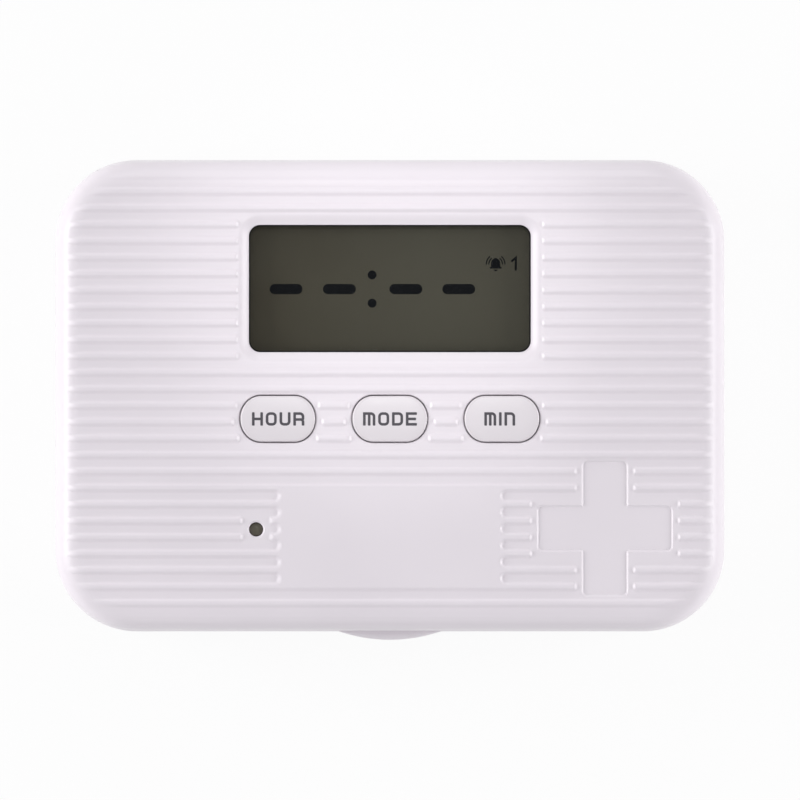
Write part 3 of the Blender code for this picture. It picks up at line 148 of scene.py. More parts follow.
class Shade:
    """A material under construction: its node tree and Principled shader."""

    def __init__(self, name: str) -> None:
        self.material = bpy.data.materials.new(name)
        self.material.use_nodes = True
        self.tree = self.material.node_tree
        self.principled = self.tree.nodes["Principled BSDF"]
        self.output = self.tree.nodes["Material Output"]

    def node(self, kind: str, settings: dict | None = None, inputs: dict | None = None) -> bpy.types.Node:
        """Add a node.

        Args:
            kind: The node's type.
            settings: Properties of the node, set before its sockets.
            inputs: Socket names or numbers, with the values, fields or sockets that feed them.

        Returns:
            The new node.
        """
        made = self.tree.nodes.new(kind)
        for key, value in (settings or {}).items():
            setattr(made, key, value)
        for key, value in (inputs or {}).items():
            self.feed(made.inputs[key], value)
        return made

    def feed(self, socket: bpy.types.NodeSocket, value: object) -> None:
        """Link a field or socket to a socket, or set a constant on it."""
        if isinstance(value, Field):
            self.tree.links.new(value.socket, socket)
        elif isinstance(value, bpy.types.NodeSocket):
            self.tree.links.new(value, socket)
        else:
            socket.default_value = value

    def math(self, operation: str, *values: "Field | float") -> Field:
        """A Math node as a field."""
        made = self.node("ShaderNodeMath", {"operation": operation}, dict(enumerate(values)))
        return Field(self, made.outputs[0])

    def place(self) -> bpy.types.NodeSocket:
        """Object coordinates in millimetres."""
        source = self.node("ShaderNodeTexCoord").outputs["Object"]
        return self.scaled(source, (1.0 / METRES,) * 3)

    def scaled(self, vector: bpy.types.NodeSocket, factors: Point3) -> bpy.types.NodeSocket:
        """A vector multiplied part by part."""
        return self.node("ShaderNodeVectorMath", {"operation": "MULTIPLY"}, {0: vector, 1: factors}).outputs[0]

    def parts(self, vector: bpy.types.NodeSocket) -> list[Field]:
        """The x, y and z of a vector."""
        split = self.node("ShaderNodeSeparateXYZ", inputs={0: vector})
        return [Field(self, socket) for socket in split.outputs]

    def noise(self, vector: bpy.types.NodeSocket, size: float, detail: float = 2.0,
              rough: float = 0.5) -> Field:
        """Noise around 0.5, with features of a size in millimetres."""
        made = self.node("ShaderNodeTexNoise", {"noise_dimensions": "3D"},
                         {"Vector": vector, "Scale": 1.0 / size, "Detail": detail, "Roughness": rough})
        return Field(self, made.outputs[0])

    def mix(self, factor: "Field | float", first: object, second: object) -> bpy.types.NodeSocket:
        """A blend of two colours."""
        made = self.node("ShaderNodeMix", {"data_type": "RGBA"})
        self.feed(made.inputs[0], factor)
        self.feed(made.inputs[6], first)
        self.feed(made.inputs[7], second)
        return made.outputs[2]

    def shader(self, **values: object) -> None:
        """Set or link the Principled shader's sockets, named with _ for a space."""
        for key, value in values.items():
            self.feed(self.principled.inputs[key.replace("_", " ")], value)

    def bump(self, height: Field, depth: float, strength: float = 1.0) -> None:
        """Feed the shader's normal from a height field of a depth in millimetres."""
        made = self.node("ShaderNodeBump", inputs={"Height": height, "Distance": depth * METRES,
                                                   "Strength": strength})
        self.feed(self.principled.inputs["Normal"], made.outputs[0])


def rgba(colour: Point3) -> tuple[float, float, float, float]:
    """A colour with full alpha."""
    return (*colour, 1.0)


@dataclass(frozen=True)
class Finish:
    """A surface finish; each kind writes its own material."""

    name: str

    def make(self) -> bpy.types.Material:
        """The finish's material, made once."""
        existing = bpy.data.materials.get("finish_" + self.name)
        if existing:
            return existing
        shade = Shade("finish_" + self.name)
        self.write(shade)
        return shade.material

    def write(self, shade: Shade) -> None:
        """Fill in the material's nodes."""
        raise NotImplementedError


@dataclass(frozen=True)
class MouldedPlastic(Finish):
    """Opaque moulded plastic: a spark-eroded grain, slow tint changes and a few rubbed patches."""

    colour: Point3 = (0.795, 0.742, 0.785)
    roughness: float = 0.4
    grain: float = 0.22
    grain_depth: float = 0.006
    mottle: float = 0.02
    specular: float = 0.5

    def write(self, shade: Shade) -> None:
        """Fill in the material's nodes."""
        place = shade.place()
        slow = shade.noise(place, 28.0, 3.0)
        fine = shade.noise(place, self.grain, 3.0, 0.6)
        rub = shade.noise(shade.scaled(place, (0.25, 1.0, 1.0)), 1.6, 4.0, 0.6)
        dark = tuple(part * (1.0 - 2.0 * self.mottle) for part in self.colour)
        tint = shade.mix(slow.ramp(0.3, 0.7), rgba(dark), rgba(self.colour))
        worn = rub.ramp(0.55, 0.75) * 0.08
        shade.shader(Base_Color=shade.mix((fine - 0.5).ramp(-0.3, 0.3) * 0.25, tint, rgba(self.colour)),
                     Roughness=self.roughness + (fine - 0.5) * 0.12 - worn + (slow - 0.5) * 0.06,
                     Specular_IOR_Level=self.specular)
        shade.bump(fine, self.grain_depth)


@dataclass(frozen=True)
class Ink(Finish):
    """Printed or etched marks, and a dark band of painted shadow: matt, with a slightly uneven edge of density."""

    colour: Point3 = (0.07, 0.065, 0.075)
    roughness: float = 0.55
    specular: float = 0.3

    def write(self, shade: Shade) -> None:
        """Fill in the material's nodes."""
        place = shade.place()
        grain = shade.noise(place, 0.09, 2.0)
        pale = tuple(min(part * 1.35 + 0.01, 1.0) for part in self.colour)
        shade.shader(Base_Color=shade.mix(grain.ramp(0.35, 0.75) * 0.6, rgba(self.colour), rgba(pale)),
                     Roughness=self.roughness + (grain - 0.5) * 0.2, Specular_IOR_Level=self.specular)
        shade.bump(grain, 0.002)


@dataclass(frozen=True)
class ClearPane(Finish):
    """A thin clear window: see-through, with the gloss of its surface."""

    least: float = 0.001
    grazing: float = 0.5

    def write(self, shade: Shade) -> None:
        """Fill in the material's nodes: a mirror as see-through as its gloss is weak."""
        place = shade.place()
        haze = shade.noise(place, 9.0, 3.0)
        speck = shade.noise(place, 0.35, 2.0)
        facing = Field(shade, shade.node("ShaderNodeLayerWeight", inputs={"Blend": 0.5}).outputs["Facing"])
        gloss = self.least + facing.power(5.0) * self.grazing
        shade.shader(Base_Color=shade.mix(haze, rgba((0.86, 0.87, 0.86)), rgba((0.92, 0.92, 0.91))),
                     Metallic=1.0, Roughness=0.06 + haze.ramp(0.4, 0.8) * 0.05,
                     Alpha=gloss + speck.ramp(0.66, 0.8) * 0.01)


@dataclass(frozen=True)
class LiquidCrystal(Finish):
    """The display's glass: dark olive polariser over a faint electrode pattern, with painted shade that makes it
    darker and warmer towards the left.
    """

    # the left colour is painted shade at the glass's left edge; the right colour is its plain tone
    left: Point3 = (0.045, 0.040, 0.027)
    right: Point3 = (0.060, 0.057, 0.042)
    half_width: float = 27.0

    def write(self, shade: Shade) -> None:
        """Fill in the material's nodes."""
        place = shade.place()
        x, _, _ = shade.parts(place)
        slow = shade.noise(place, 14.0, 2.0)
        film = shade.noise(place, 0.18, 2.0)
        # painted shade: the glass darkens and warms from a little right of the middle to its left edge
        across = x.ramp(-self.half_width, self.half_width * 0.2)
        tone = shade.mix(across, rgba(self.left), rgba(self.right))
        lifted = tuple(part * 1.12 for part in self.right)
        shade.shader(Base_Color=shade.mix(slow.ramp(0.35, 0.8) * 0.35, tone, rgba(lifted)),
                     Roughness=0.34 + (film - 0.5) * 0.1, Specular_IOR_Level=0.06)
        shade.bump(film, 0.001)


@dataclass(frozen=True)
class TintedResin(Finish):
    """Glossy cast resin with a soft inner glow of tone."""

    colour: Point3 = (0.078, 0.068, 0.046)
    roughness: float = 0.2
    coat: float = 0.5

    def write(self, shade: Shade) -> None:
        """Fill in the material's nodes."""
        place = shade.place()
        swirl = shade.noise(place, 0.9, 3.0)
        pale = tuple(part * 1.3 for part in self.colour)
        shade.shader(Base_Color=shade.mix(swirl.ramp(0.3, 0.7), rgba(self.colour), rgba(pale)),
                     Roughness=self.roughness + (swirl - 0.5) * 0.08, Coat_Weight=self.coat,
                     Coat_Roughness=0.08)
        shade.bump(swirl, 0.002)


@dataclass(frozen=True)
class Metal(Finish):
    """Plated or drawn metal, brushed along one direction."""

    colour: Point3 = (0.66, 0.65, 0.63)
    roughness: float = 0.28
    stretch: Point3 = (0.08, 1.0, 1.0)
    brush: float = 0.12

    def write(self, shade: Shade) -> None:
        """Fill in the material's nodes."""
        place = shade.place()
        lines = shade.noise(shade.scaled(place, self.stretch), self.brush, 3.0, 0.7)
        stain = shade.noise(place, 2.4, 3.0)
        dull = tuple(part * 0.8 for part in self.colour)
        shade.shader(Base_Color=shade.mix(stain.ramp(0.35, 0.75), rgba(self.colour), rgba(dull)),
                     Metallic=1.0,
                     Roughness=self.roughness + (lines - 0.5) * 0.2 + stain.ramp(0.5, 0.8) * 0.08)
        shade.bump(lines, 0.002)


@dataclass(frozen=True)
class Rubber(Finish):
    """Soft rubber in thin stripes, conducting and insulating by turns."""

    dark: Point3 = (0.02, 0.02, 0.022)
    pale: Point3 = (0.2, 0.19, 0.18)
    pitch: float = 0.3

    def write(self, shade: Shade) -> None:
        """Fill in the material's nodes."""
        place = shade.place()
        x, _, _ = shade.parts(place)
        grain = shade.noise(place, 0.2, 2.0)
        wave = (x * (math.tau / self.pitch)).math("SINE")
        shade.shader(Base_Color=shade.mix(wave.ramp(-0.2, 0.2), rgba(self.dark), rgba(self.pale)),
                     Roughness=0.75 + (grain - 0.5) * 0.2)
        shade.bump(grain, 0.004)


@dataclass(frozen=True)
class SolderMask(Finish):
    """A circuit board: green mask over copper tracks, with tinned pads."""

    mask: Point3 = (0.012, 0.11, 0.045)
    track: Point3 = (0.03, 0.19, 0.08)
    pitch: float = 1.27

    def write(self, shade: Shade) -> None:
        """Fill in the material's nodes."""
        place = shade.place()
        x, y, _ = shade.parts(place)
        warp = shade.noise(place, 9.0, 1.0)
        lane = ((x * 0.6 + y * 0.8 + warp * 5.0) * (math.tau / (2.0 * self.pitch))).math("SINE")
        zone = shade.noise(shade.scaled(place, (1.0, 0.6, 0.0)), 7.0, 0.0).ramp(0.48, 0.5)
        weave = shade.noise(place, 0.25, 2.0)
        lines = lane.ramp(0.35, 0.45) * zone
        shade.shader(Base_Color=shade.mix(lines, rgba(self.mask), rgba(self.track)),
                     Roughness=0.38 + (weave - 0.5) * 0.16 - lines * 0.06)
        shade.bump(lines + weave * 0.1, 0.02)


@dataclass(frozen=True)
class CellJacket(Finish):
    """The printed film of a plain dry cell: dark sleeve, a pale band at the button end, metal ends.

    The band is placed by distance from the middle of the cell along x.
    """

    middle_x: float = 0.0
    button_side: float = 1.0
    half_length: float = 22.25

    def write(self, shade: Shade) -> None:
        """Fill in the material's nodes."""
        place = shade.place()
        x, _, _ = shade.parts(place)
        along = (x - self.middle_x) * self.button_side
        film = shade.noise(place, 0.5, 3.0)
        band = along.ramp(self.half_length - 14.0, self.half_length - 13.9)
        ends = abs(along).ramp(self.half_length - 1.05, self.half_length - 1.0)
        tone = shade.mix(band, rgba((0.03, 0.035, 0.05)), rgba((0.55, 0.36, 0.16)))
        shade.shader(Base_Color=shade.mix(ends, tone, rgba((0.62, 0.61, 0.59))),
                     Metallic=ends + band * (1.0 - ends) * 0.6,
                     Roughness=0.3 + (film - 0.5) * 0.16)
        shade.bump(film, 0.003)


SHELL = MouldedPlastic("shell")
INNER = MouldedPlastic("inner_shell", colour=(0.785, 0.745, 0.775), roughness=0.46, grain=0.3)
KEY = MouldedPlastic("key", colour=(0.716, 0.672, 0.70), roughness=0.34, grain_depth=0.003)
LEGEND = Ink("legend")
# painted shadow: a dark ink band that stands in for the shade in the gap round the display pane
PAINTED_GAP_SHADOW = Ink("painted_gap_shadow", colour=(0.007, 0.006, 0.0065), roughness=0.5, specular=0.1)
SEGMENT = Ink("segment", colour=(0.003, 0.0036, 0.0046), roughness=0.4, specular=0.02)
PANE = ClearPane("pane")
CRYSTAL = LiquidCrystal("crystal")
LAMP = TintedResin("lamp")
RESIN = TintedResin("black_resin", colour=(0.012, 0.012, 0.013), roughness=0.35, coat=0.0)
SWITCH = MouldedPlastic("switch", colour=(0.03, 0.03, 0.034), roughness=0.45, grain_depth=0.01)
HOLDER = MouldedPlastic("holder", colour=(0.7, 0.7, 0.67), roughness=0.5, grain_depth=0.01)
STEEL = Metal("steel", colour=(0.6, 0.6, 0.61), roughness=0.26)
NICKEL = Metal("nickel", colour=(0.7, 0.67, 0.62), roughness=0.24, stretch=(1.0, 1.0, 0.08))
RUBBER = Rubber("rubber")
BOARD = SolderMask("board")


# Plan sizes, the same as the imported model's


@dataclass(frozen=True)
class Plan:
    """The sizes that several pieces share."""

    half_width: float = 60.0
    half_depth: float = 42.3
    corner: float = 14.6
    draft: float = 0.5
    edge_radius: float = 4.0
    gap: float = 0.3
    rim_z: float = 12.0
    step_top_z: float = 13.6
    lid_rim_z: float = 12.3
    cover_low_z: float = 13.9
    cover_top_z: float = 15.7
    door_top_z: float = 15.3
    ceiling_z: float = 26.4
    face_z: float = 28.1
    hung_z: float = 26.1
    hinge_y: float = 40.2
    hinge_z: float = 12.15
    hinge_wall: float = 5.6
    window: Point = (0.0, 19.1)
    window_size: Point = (50.3, 22.7)
    window_corner: float = 2.0
    pane_sink: float = 0.8
    key_size: Point = (13.7, 8.55)
    key_end: float = 3.9
    button_y: float = -4.16
    button_pitch: float = 20.0
    lamp: Point = (-23.87, -23.9)
    cross: Point = (38.4, -23.74)
    panel_y: float = -25.2
    bay_left: float = -19.3
    bay_right: float = 30.4
    bay_half: float = 11.4
    row: float = 5.55
    cell_z: float = 20.85
    station: float = 30.0
    knuckle_radius: float = 2.0
    knuckle_play: float = 0.3
    cover_screws: tuple[Point, ...] = ((-50.5, -30.5), (50.5, -30.5), (-50.5, 30.5), (50.5, 30.5))
    board_screws: tuple[Point, ...] = ((-40.6, 19.1), (40.6, -4.16), (-40.6, -23.9))
    buzzer: Point = (38.0, 19.1)


PLAN = Plan()


# Outlines: plan points, counter-clockwise from above


def arc(centre: Point, radii: Point, start: float, sweep: float, steps: int) -> list[Point]:
    """Points along an elliptical arc, both ends included."""
    turns = [start + sweep * step / steps for step in range(steps + 1)]
    return [(centre[0] + radii[0] * math.cos(turn), centre[1] + radii[1] * math.sin(turn)) for turn in turns]


def circle(centre: Point, radius: float, sides: int, start: float = -QUARTER) -> list[Point]:
    """A circle's plan."""
    return arc(centre, (radius, radius), start, math.tau * (sides - 1) / sides, sides - 1)


def rounded_box(left: float, right: float, front: float, rear: float, radii: Sequence[float],
                steps: int) -> list[Point]:
    """A rectangle with round corners; radii run front right, rear right, rear left, front left."""
    points: list[Point] = []
    signs = ((1, -1, right, front), (1, 1, right, rear), (-1, 1, left, rear), (-1, -1, left, front))
    for index, (sign_x, sign_y, side, end) in enumerate(signs):
        radius = max(radii[index], 0.01)
        centre = (side - sign_x * radius, end - sign_y * radius)
        points += arc(centre, (radius, radius), QUARTER * (index - 1), QUARTER, steps)
    return points


def box_plan(inset: float, rear_inset: float | None = None, steps: int = 24) -> list[Point]:
    """The box's plan drawn in by an inset, its rear wall by its own."""
    rear = inset if rear_inset is None else rear_inset
    width, depth = PLAN.half_width - inset, PLAN.half_depth - inset
    return rounded_box(-width, width, -depth, PLAN.half_depth - rear, [PLAN.corner - inset] * 4, steps)


def centred_box(centre: Point, size: Point, radius: float, steps: int = 10) -> list[Point]:
    """A rectangle with four like corners round a centre."""
    half_x, half_y = size[0] / 2, size[1] / 2
    return rounded_box(centre[0] - half_x, centre[0] + half_x, centre[1] - half_y, centre[1] + half_y,
                       [radius] * 4, steps)


def stadium(centre: Point, size: Point, end: float, steps: int = 24) -> list[Point]:
    """A bar with half-ellipse ends."""
    half = size[0] / 2 - end
    return (arc((centre[0] + half, centre[1]), (end, size[1] / 2), -QUARTER, math.pi, steps)
            + arc((centre[0] - half, centre[1]), (end, size[1] / 2), QUARTER, math.pi, steps))


def grown(corners: Sequence[Point], grow: float, convex: float, concave: float, steps: int = 5) -> list[Point]:
    """A right-angled outline grown outwards, with its corners rounded.

    Args:
        corners: The outline's corners, counter-clockwise, each a right angle.
        grow: How far each side moves outwards.
        convex: Radius of the outer corners before growing.
        concave: Radius of the inner corners before growing.
        steps: Steps of each rounded corner.

    Returns:
        The points of the grown outline, the same number for any growth.
    """
    points: list[Point] = []
    count = len(corners)
    for index, corner in enumerate(corners):
        here = Vector(corner)
        before = (here - Vector(corners[index - 1])).normalized()
        after = (Vector(corners[(index + 1) % count]) - here).normalized()
        outer = before.x * after.y - before.y * after.x > 0.0
        moved = here + grow * (Vector((before.y, -before.x)) + Vector((after.y, -after.x)))
        radius = max(convex + grow if outer else concave - grow, 0.015)
        centre = moved + radius * (after - before)
        for step in range(steps + 1):
            turn = QUARTER * step / steps
            spot = centre + radius * (before * math.sin(turn) - after * math.cos(turn))
            points.append((spot.x, spot.y))
    return points


def from_edge(x: float, y: float) -> float:
    """How far a plan point lies inside the body's outline."""
    over_x = abs(x) - (PLAN.half_width - PLAN.corner)
    over_y = abs(y) - (PLAN.half_depth - PLAN.corner)
    outside = math.hypot(max(over_x, 0.0), max(over_y, 0.0))
    return PLAN.corner - outside - min(max(over_x, over_y), 0.0)


def face_height(inside: float) -> float:
    """Height of the lid's smooth outside at a distance inside its outline."""
    under = PLAN.edge_radius + PLAN.draft - inside
    if under <= 0.0:
        return PLAN.face_z
    return PLAN.face_z - PLAN.edge_radius + math.sqrt(max(PLAN.edge_radius ** 2 - under ** 2, 0.0))


def key_plan(x: float, outset: float) -> list[Point]:
    """A button's plan, grown outwards by an outset."""
    width, height = PLAN.key_size
    return stadium((x, PLAN.button_y), (width + 2 * outset, height + 2 * outset), PLAN.key_end + outset, KEY_STEPS)


def window_plan(outset: float) -> list[Point]:
    """The display opening's plan, grown outwards by an outset."""
    width, height = PLAN.window_size
    corner = max(PLAN.window_corner + outset, 0.1)
    return centred_box(PLAN.window, (width + 2 * outset, height + 2 * outset), corner, 12)


def level(outline: Iterable[Point], height: float) -> list[Point3]:
    """An outline lifted to a height."""
    return [(x, y, height) for x, y in outline]


class Form:
    """A closed mesh under construction."""

    def __init__(self) -> None:
        self.mesh = bmesh.new()

    def loft(self, rings: Sequence[Sequence[Point3]]) -> "Form":
        """Add a body through rings of like point counts, closed by a face at each end."""
        rows = [[self.mesh.verts.new(point) for point in ring] for ring in rings]
        count = len(rows[0])
        for lower, upper in zip(rows, rows[1:]):
            for index in range(count):
                after = (index + 1) % count
                self.mesh.faces.new((lower[index], lower[after], upper[after], upper[index]))
        self.mesh.faces.new(list(reversed(rows[0])))
        self.mesh.faces.new(rows[-1])
        return self

    def prism(self, outline: Sequence[Point], low: float, high: float) -> "Form":
        """Add an outline with straight walls between two heights."""
        return self.loft([level(outline, low), level(outline, high)])

    def block(self, low: Point3, high: Point3) -> "Form":
        """Add a block between two corners."""
        outline = [(low[0], low[1]), (high[0], low[1]), (high[0], high[1]), (low[0], high[1])]
        return self.prism(outline, low[2], high[2])

    def turned(self, centre: Point, profile: Sequence[Point], sides: int = 40) -> "Form":
        """Add an upright turned body; the profile runs upwards as (radius, height)."""
        return self.loft([level(circle(centre, radius, sides), height) for radius, height in profile])

    def rod(self, start: Point3, profile: Sequence[Point], sides: int = 40) -> "Form":
        """Add a body turned about a line along x; the profile is (distance, radius)."""
        rings = []
        for distance, radius in profile:
            ring = circle((start[1], start[2]), radius, sides, 0.0)
            rings.append([(start[0] + distance, y, z) for y, z in ring])
        return self.loft(rings)

    def tube(self, path: Sequence[Vector], radius: float, sides: int = 10) -> "Form":
        """Add a round wire along a path."""
        rings = []
        side = Vector((0.0, 0.0, 1.0))
        for index, point in enumerate(path):
            ahead = path[min(index + 1, len(path) - 1)] - path[max(index - 1, 0)]
            ahead.normalize()
            side = (side - ahead * side.dot(ahead)).normalized()
            across = ahead.cross(side)
            turns = [math.tau * step / sides for step in range(sides)]
            rings.append([tuple(point + radius * (side * math.cos(turn) + across * math.sin(turn)))
                          for turn in turns])
        return self.loft(rings)

    def take(self, other: "Form") -> "Form":
        """Add another form's bodies as they are."""
        data = bpy.data.meshes.new("part")
        other.mesh.to_mesh(data)
        other.mesh.free()
        self.mesh.from_mesh(data)
        bpy.data.meshes.remove(data)
        return self

    def combine(self, tool: "Form", operation: str) -> "Form":
        """Join a form to this one, or cut it away."""
        target_object = self.rough("target")
        tool_object = tool.rough("tool")
        modifier = target_object.modifiers.new(operation.lower(), "BOOLEAN")
        modifier.operation = operation
        modifier.solver = "EXACT"
        modifier.object = tool_object
        graph = bpy.context.evaluated_depsgraph_get()
        result = bpy.data.meshes.new_from_object(target_object.evaluated_get(graph))
        self.mesh = bmesh.new()
        self.mesh.from_mesh(result)
        for made in (target_object, tool_object):
            data = made.data
            bpy.data.objects.remove(made)
            bpy.data.meshes.remove(data)
        bpy.data.meshes.remove(result)
        return self

    def cut(self, tool: "Form") -> "Form":
        """Cut a form away."""
        return self.combine(tool, "DIFFERENCE")

    def join(self, tool: "Form") -> "Form":
        """Join a form on."""
        return self.combine(tool, "UNION")

    def rough(self, name: str) -> bpy.types.Object:
        """The form as an object in its working unit."""
        bmesh.ops.recalc_face_normals(self.mesh, faces=self.mesh.faces)
        data = bpy.data.meshes.new(name)
        self.mesh.to_mesh(data)
        self.mesh.free()
        made = bpy.data.objects.new(name, data)
        bpy.context.collection.objects.link(made)
        return made

    def piece(self, name: str, body: Body, slot: Slot, finish: Finish, node: str = "",
              edge: float = 0.0) -> None:
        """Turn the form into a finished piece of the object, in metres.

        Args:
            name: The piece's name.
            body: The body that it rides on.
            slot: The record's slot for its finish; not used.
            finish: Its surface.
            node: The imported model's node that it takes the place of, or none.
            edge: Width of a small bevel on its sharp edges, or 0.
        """
        made = self.rough(name)
        made.data.transform(Matrix.Scale(METRES, 4) @ Matrix.Translation((0.0, CENTRE_Y, 0.0)))
        surface(made, finish, edge)
        weighted = made.modifiers.new("normals", "WEIGHTED_NORMAL")
        weighted.keep_sharp = True
        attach(made, body.value)
        if node:
            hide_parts(node)
        LOG.info("%s: %d faces", name, len(made.data.polygons))


def surface(made: bpy.types.Object, finish: Finish, edge: float) -> None:
    """Give an object its finish, smooth shading between crisp edges, and where asked a small bevel."""
    made.data.materials.append(finish.make())
    made.data.shade_smooth()
    made.data.set_sharp_from_angle(angle=math.radians(CRISP))
    if edge:
        bevel = made.modifiers.new("edge", "BEVEL")
        bevel.width = edge * METRES
        bevel.segments = 2
        bevel.harden_normals = True


def dress(node: str, finish: Finish, edge: float = 0.0) -> None:
    """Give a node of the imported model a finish, and where asked a small bevel."""
    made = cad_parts[node]
    made.data.materials.clear()
    surface(made, finish, edge)
    LOG.info("%s: dressed", node)


def hinge_bars(centres: Iterable[float], width: float, radius: float) -> Form:
    """Round bars along the hinge line."""
    form = Form()
    for centre in centres:
        form.rod((centre - width / 2, PLAN.hinge_y, PLAN.hinge_z), [(0.0, radius), (width, radius)])
    return form


def pin_bores() -> Form:
    """The bores for the two hinge pins."""
    return hinge_bars(STATIONS, 20.6, 1.0)


KEY_CENTRES = (-PLAN.button_pitch, 0.0, PLAN.button_pitch)
CELL_ROWS = (PLAN.panel_y - PLAN.row, PLAN.panel_y + PLAN.row)
STATIONS = (-PLAN.station, PLAN.station)
BASE_KNUCKLES = tuple(station + side * 6.8 for station in STATIONS for side in (-1, 1))


def hinge_relief(direction: int) -> Form:
    """The V-shaped relief along the rear edge, upwards for the lid and downwards for the base."""
    depth, slope, half_length = 3.1, math.radians(58.0), 120.0
    rise = direction * depth * math.tan(slope)
    outer = PLAN.hinge_y + depth
    section = [(PLAN.hinge_y, PLAN.hinge_z - direction), (outer, PLAN.hinge_z - direction),
               (outer, PLAN.hinge_z + rise), (PLAN.hinge_y, PLAN.hinge_z)]
    return Form().loft([[(x, y, z) for y, z in section] for x in (-half_length, half_length)])


@dataclass
class FaceRelief:
    """The raised ribs of the face, and the label panel that some of them run into.

    The profile runs from a rib's foot to its crown as (growth of the outline, share of the height).
    """

    pitch: float = 2.94
    count: int = 26
    lead: float = 0.27
    half: float = 0.57
    height: float = 0.42
    end_inset: float = 1.9
    fade: Point = (2.1, 4.9)
    flare: float = 0.34
    end_radius: float = 0.34
    valley_radius: float = 0.8
    profile: tuple[Point, ...] = ((0.42, -0.12), (0.36, 0.0), (0.25, 0.04), (0.15, 0.13), (0.07, 0.27),
                                  (0.0, 0.43), (-0.07, 0.59), (-0.15, 0.74), (-0.24, 0.87), (-0.34, 0.96),
                                  (-0.5, 1.0))
    panel_ribs: tuple[int, int] = (18, 24)
    panel_side: float = 19.9
    stub_ribs: tuple[int, ...] = (20, 21)
    shortest: float = 1.0
    window_gap: Point = (-27.2, 27.35)
    window_reach: float = 13.9
    key_reach: float = 5.375
    key_gap: Point = (3.0, 5.0)
    lamp_gap: Point = (-26.45, -21.4)
    cross_reach: Point = (5.7, 12.5)
    cross_gap: Point = (13.2, 5.2)

    def rib_y(self, index: float) -> float:
        """The plan y of a rib, counted from the rear."""
        return ((self.count - 1) / 2 - index) * self.pitch - self.lead

    def reach(self, y: float) -> float:
        """How far a rib reaches from the middle line, following the round corners."""
        half = PLAN.half_width - self.end_inset
        radius = PLAN.corner - self.end_inset
        over = abs(y) - (PLAN.half_depth - PLAN.corner)
        if over <= 0.0:
            return half
        return half - radius + math.sqrt(max(radius ** 2 - over ** 2, 0.0))

    def breaks(self, index: int) -> list[Point]:
        """The stretches along x where a rib is interrupted, panel left out."""
        y = self.rib_y(index) + self.lead
        gaps: list[Point] = []
        if abs(y - PLAN.window[1]) < self.window_reach:
            gaps.append(self.window_gap)
        share = (y - PLAN.button_y) / self.key_reach
        if abs(share) < 1.0:
            half = self.key_gap[0] + self.key_gap[1] * math.sqrt(1.0 - share ** 2)
            gaps += [(x - half, x + half) for x in KEY_CENTRES]
        if index in self.stub_ribs:
            gaps.append(self.lamp_gap)
        for reach, half in zip(self.cross_reach, self.cross_gap):
            if abs(y - PLAN.cross[1]) < reach:
                gaps.append((PLAN.cross[0] - half, PLAN.cross[0] + half))
                break
        return sorted(gaps)

    def stretches(self, index: int) -> list[Point]:
        """A rib's raised stretches along x."""
        left = -self.reach(self.rib_y(index))
        pieces = []
        for gap_left, gap_right in self.breaks(index):
            if gap_left - left > self.shortest:
                pieces.append((left, gap_left))
            left = gap_right
        pieces.append((left, self.reach(self.rib_y(index))))
        return pieces

    def bar(self, left: float, right: float, y: float) -> list[Point]:
        """The corners of one rib stretch."""
        return [(left, y - self.half), (right, y - self.half), (right, y + self.half), (left, y + self.half)]

    def comb(self, flare: float) -> list[Point]:
        """The corners of the label panel with the rib stretches that run into it.

        Args:
            flare: How far the panel's left side and the stubs' left ends lean in at this height.

        Returns:
            The corners, counter-clockwise.
        """
        first, last = self.panel_ribs
        panel_left = -self.panel_side + flare
        right_side: list[Point] = []
        left_side: list[Point] = []
        for index in range(last, first - 1, -1):
            y = self.rib_y(index)
            left, right = next(pair for pair in self.stretches(index) if pair[0] < 0.0 < pair[1])
            if index in self.stub_ribs:
                left += flare
            if index != last:
                right_side.append((self.panel_side, y - self.half))
                left_side.append((panel_left, y - self.half))
            right_side += [(right, y - self.half), (right, y + self.half)]
            left_side += [(left, y - self.half), (left, y + self.half)]
            if index != first:
                right_side.append((self.panel_side, y + self.half))
                left_side.append((panel_left, y + self.half))
        return right_side + list(reversed(left_side))

    def raised(self, form: Form, corners: Callable[[float], list[Point]]) -> None:
        """Add one raised outline with its rounded flanks to a form."""
        rings = []
        for grow, share in self.profile:
            outline = grown(corners(self.flare * max(share, 0.0)), grow, self.end_radius, self.valley_radius)
            rings.append(level(outline, PLAN.face_z + self.height * share))
        form.loft(rings)

    def drape(self, form: Form) -> None:
        """Lay the relief over the rounded edge, where it fades out."""
        mesh = form.mesh
        first_cut, cuts = 45.6, 13
        for step in range(cuts):
            for side in (-1, 1):
                place = (side * (first_cut + step), 0.0, 0.0)
                bmesh.ops.bisect_plane(mesh, geom=[*mesh.verts, *mesh.edges, *mesh.faces], dist=1e-5,
                                       plane_co=place, plane_no=(1.0, 0.0, 0.0))
        low, high = self.fade
        for vertex in mesh.verts:
            inside = from_edge(vertex.co.x, vertex.co.y)
            share = min(max((inside - low) / (high - low), 0.0), 1.0)
            share *= share * (3.0 - 2.0 * share)
            vertex.co.z = face_height(inside) + (vertex.co.z - PLAN.face_z) * share

    def build(self) -> Form:
        """Every raised stretch of the face as one form."""
        form = Form()
        self.raised(form, self.comb)
        for index in range(-1, self.count + 1):
            in_panel = self.panel_ribs[0] <= index <= self.panel_ribs[1]
            for left, right in self.stretches(index):
                if not (in_panel and left < 0.0 < right):
                    corners = self.bar(left, right, self.rib_y(index))
                    self.raised(form, lambda flare, corners=corners: corners)
        self.drape(form)
        return form


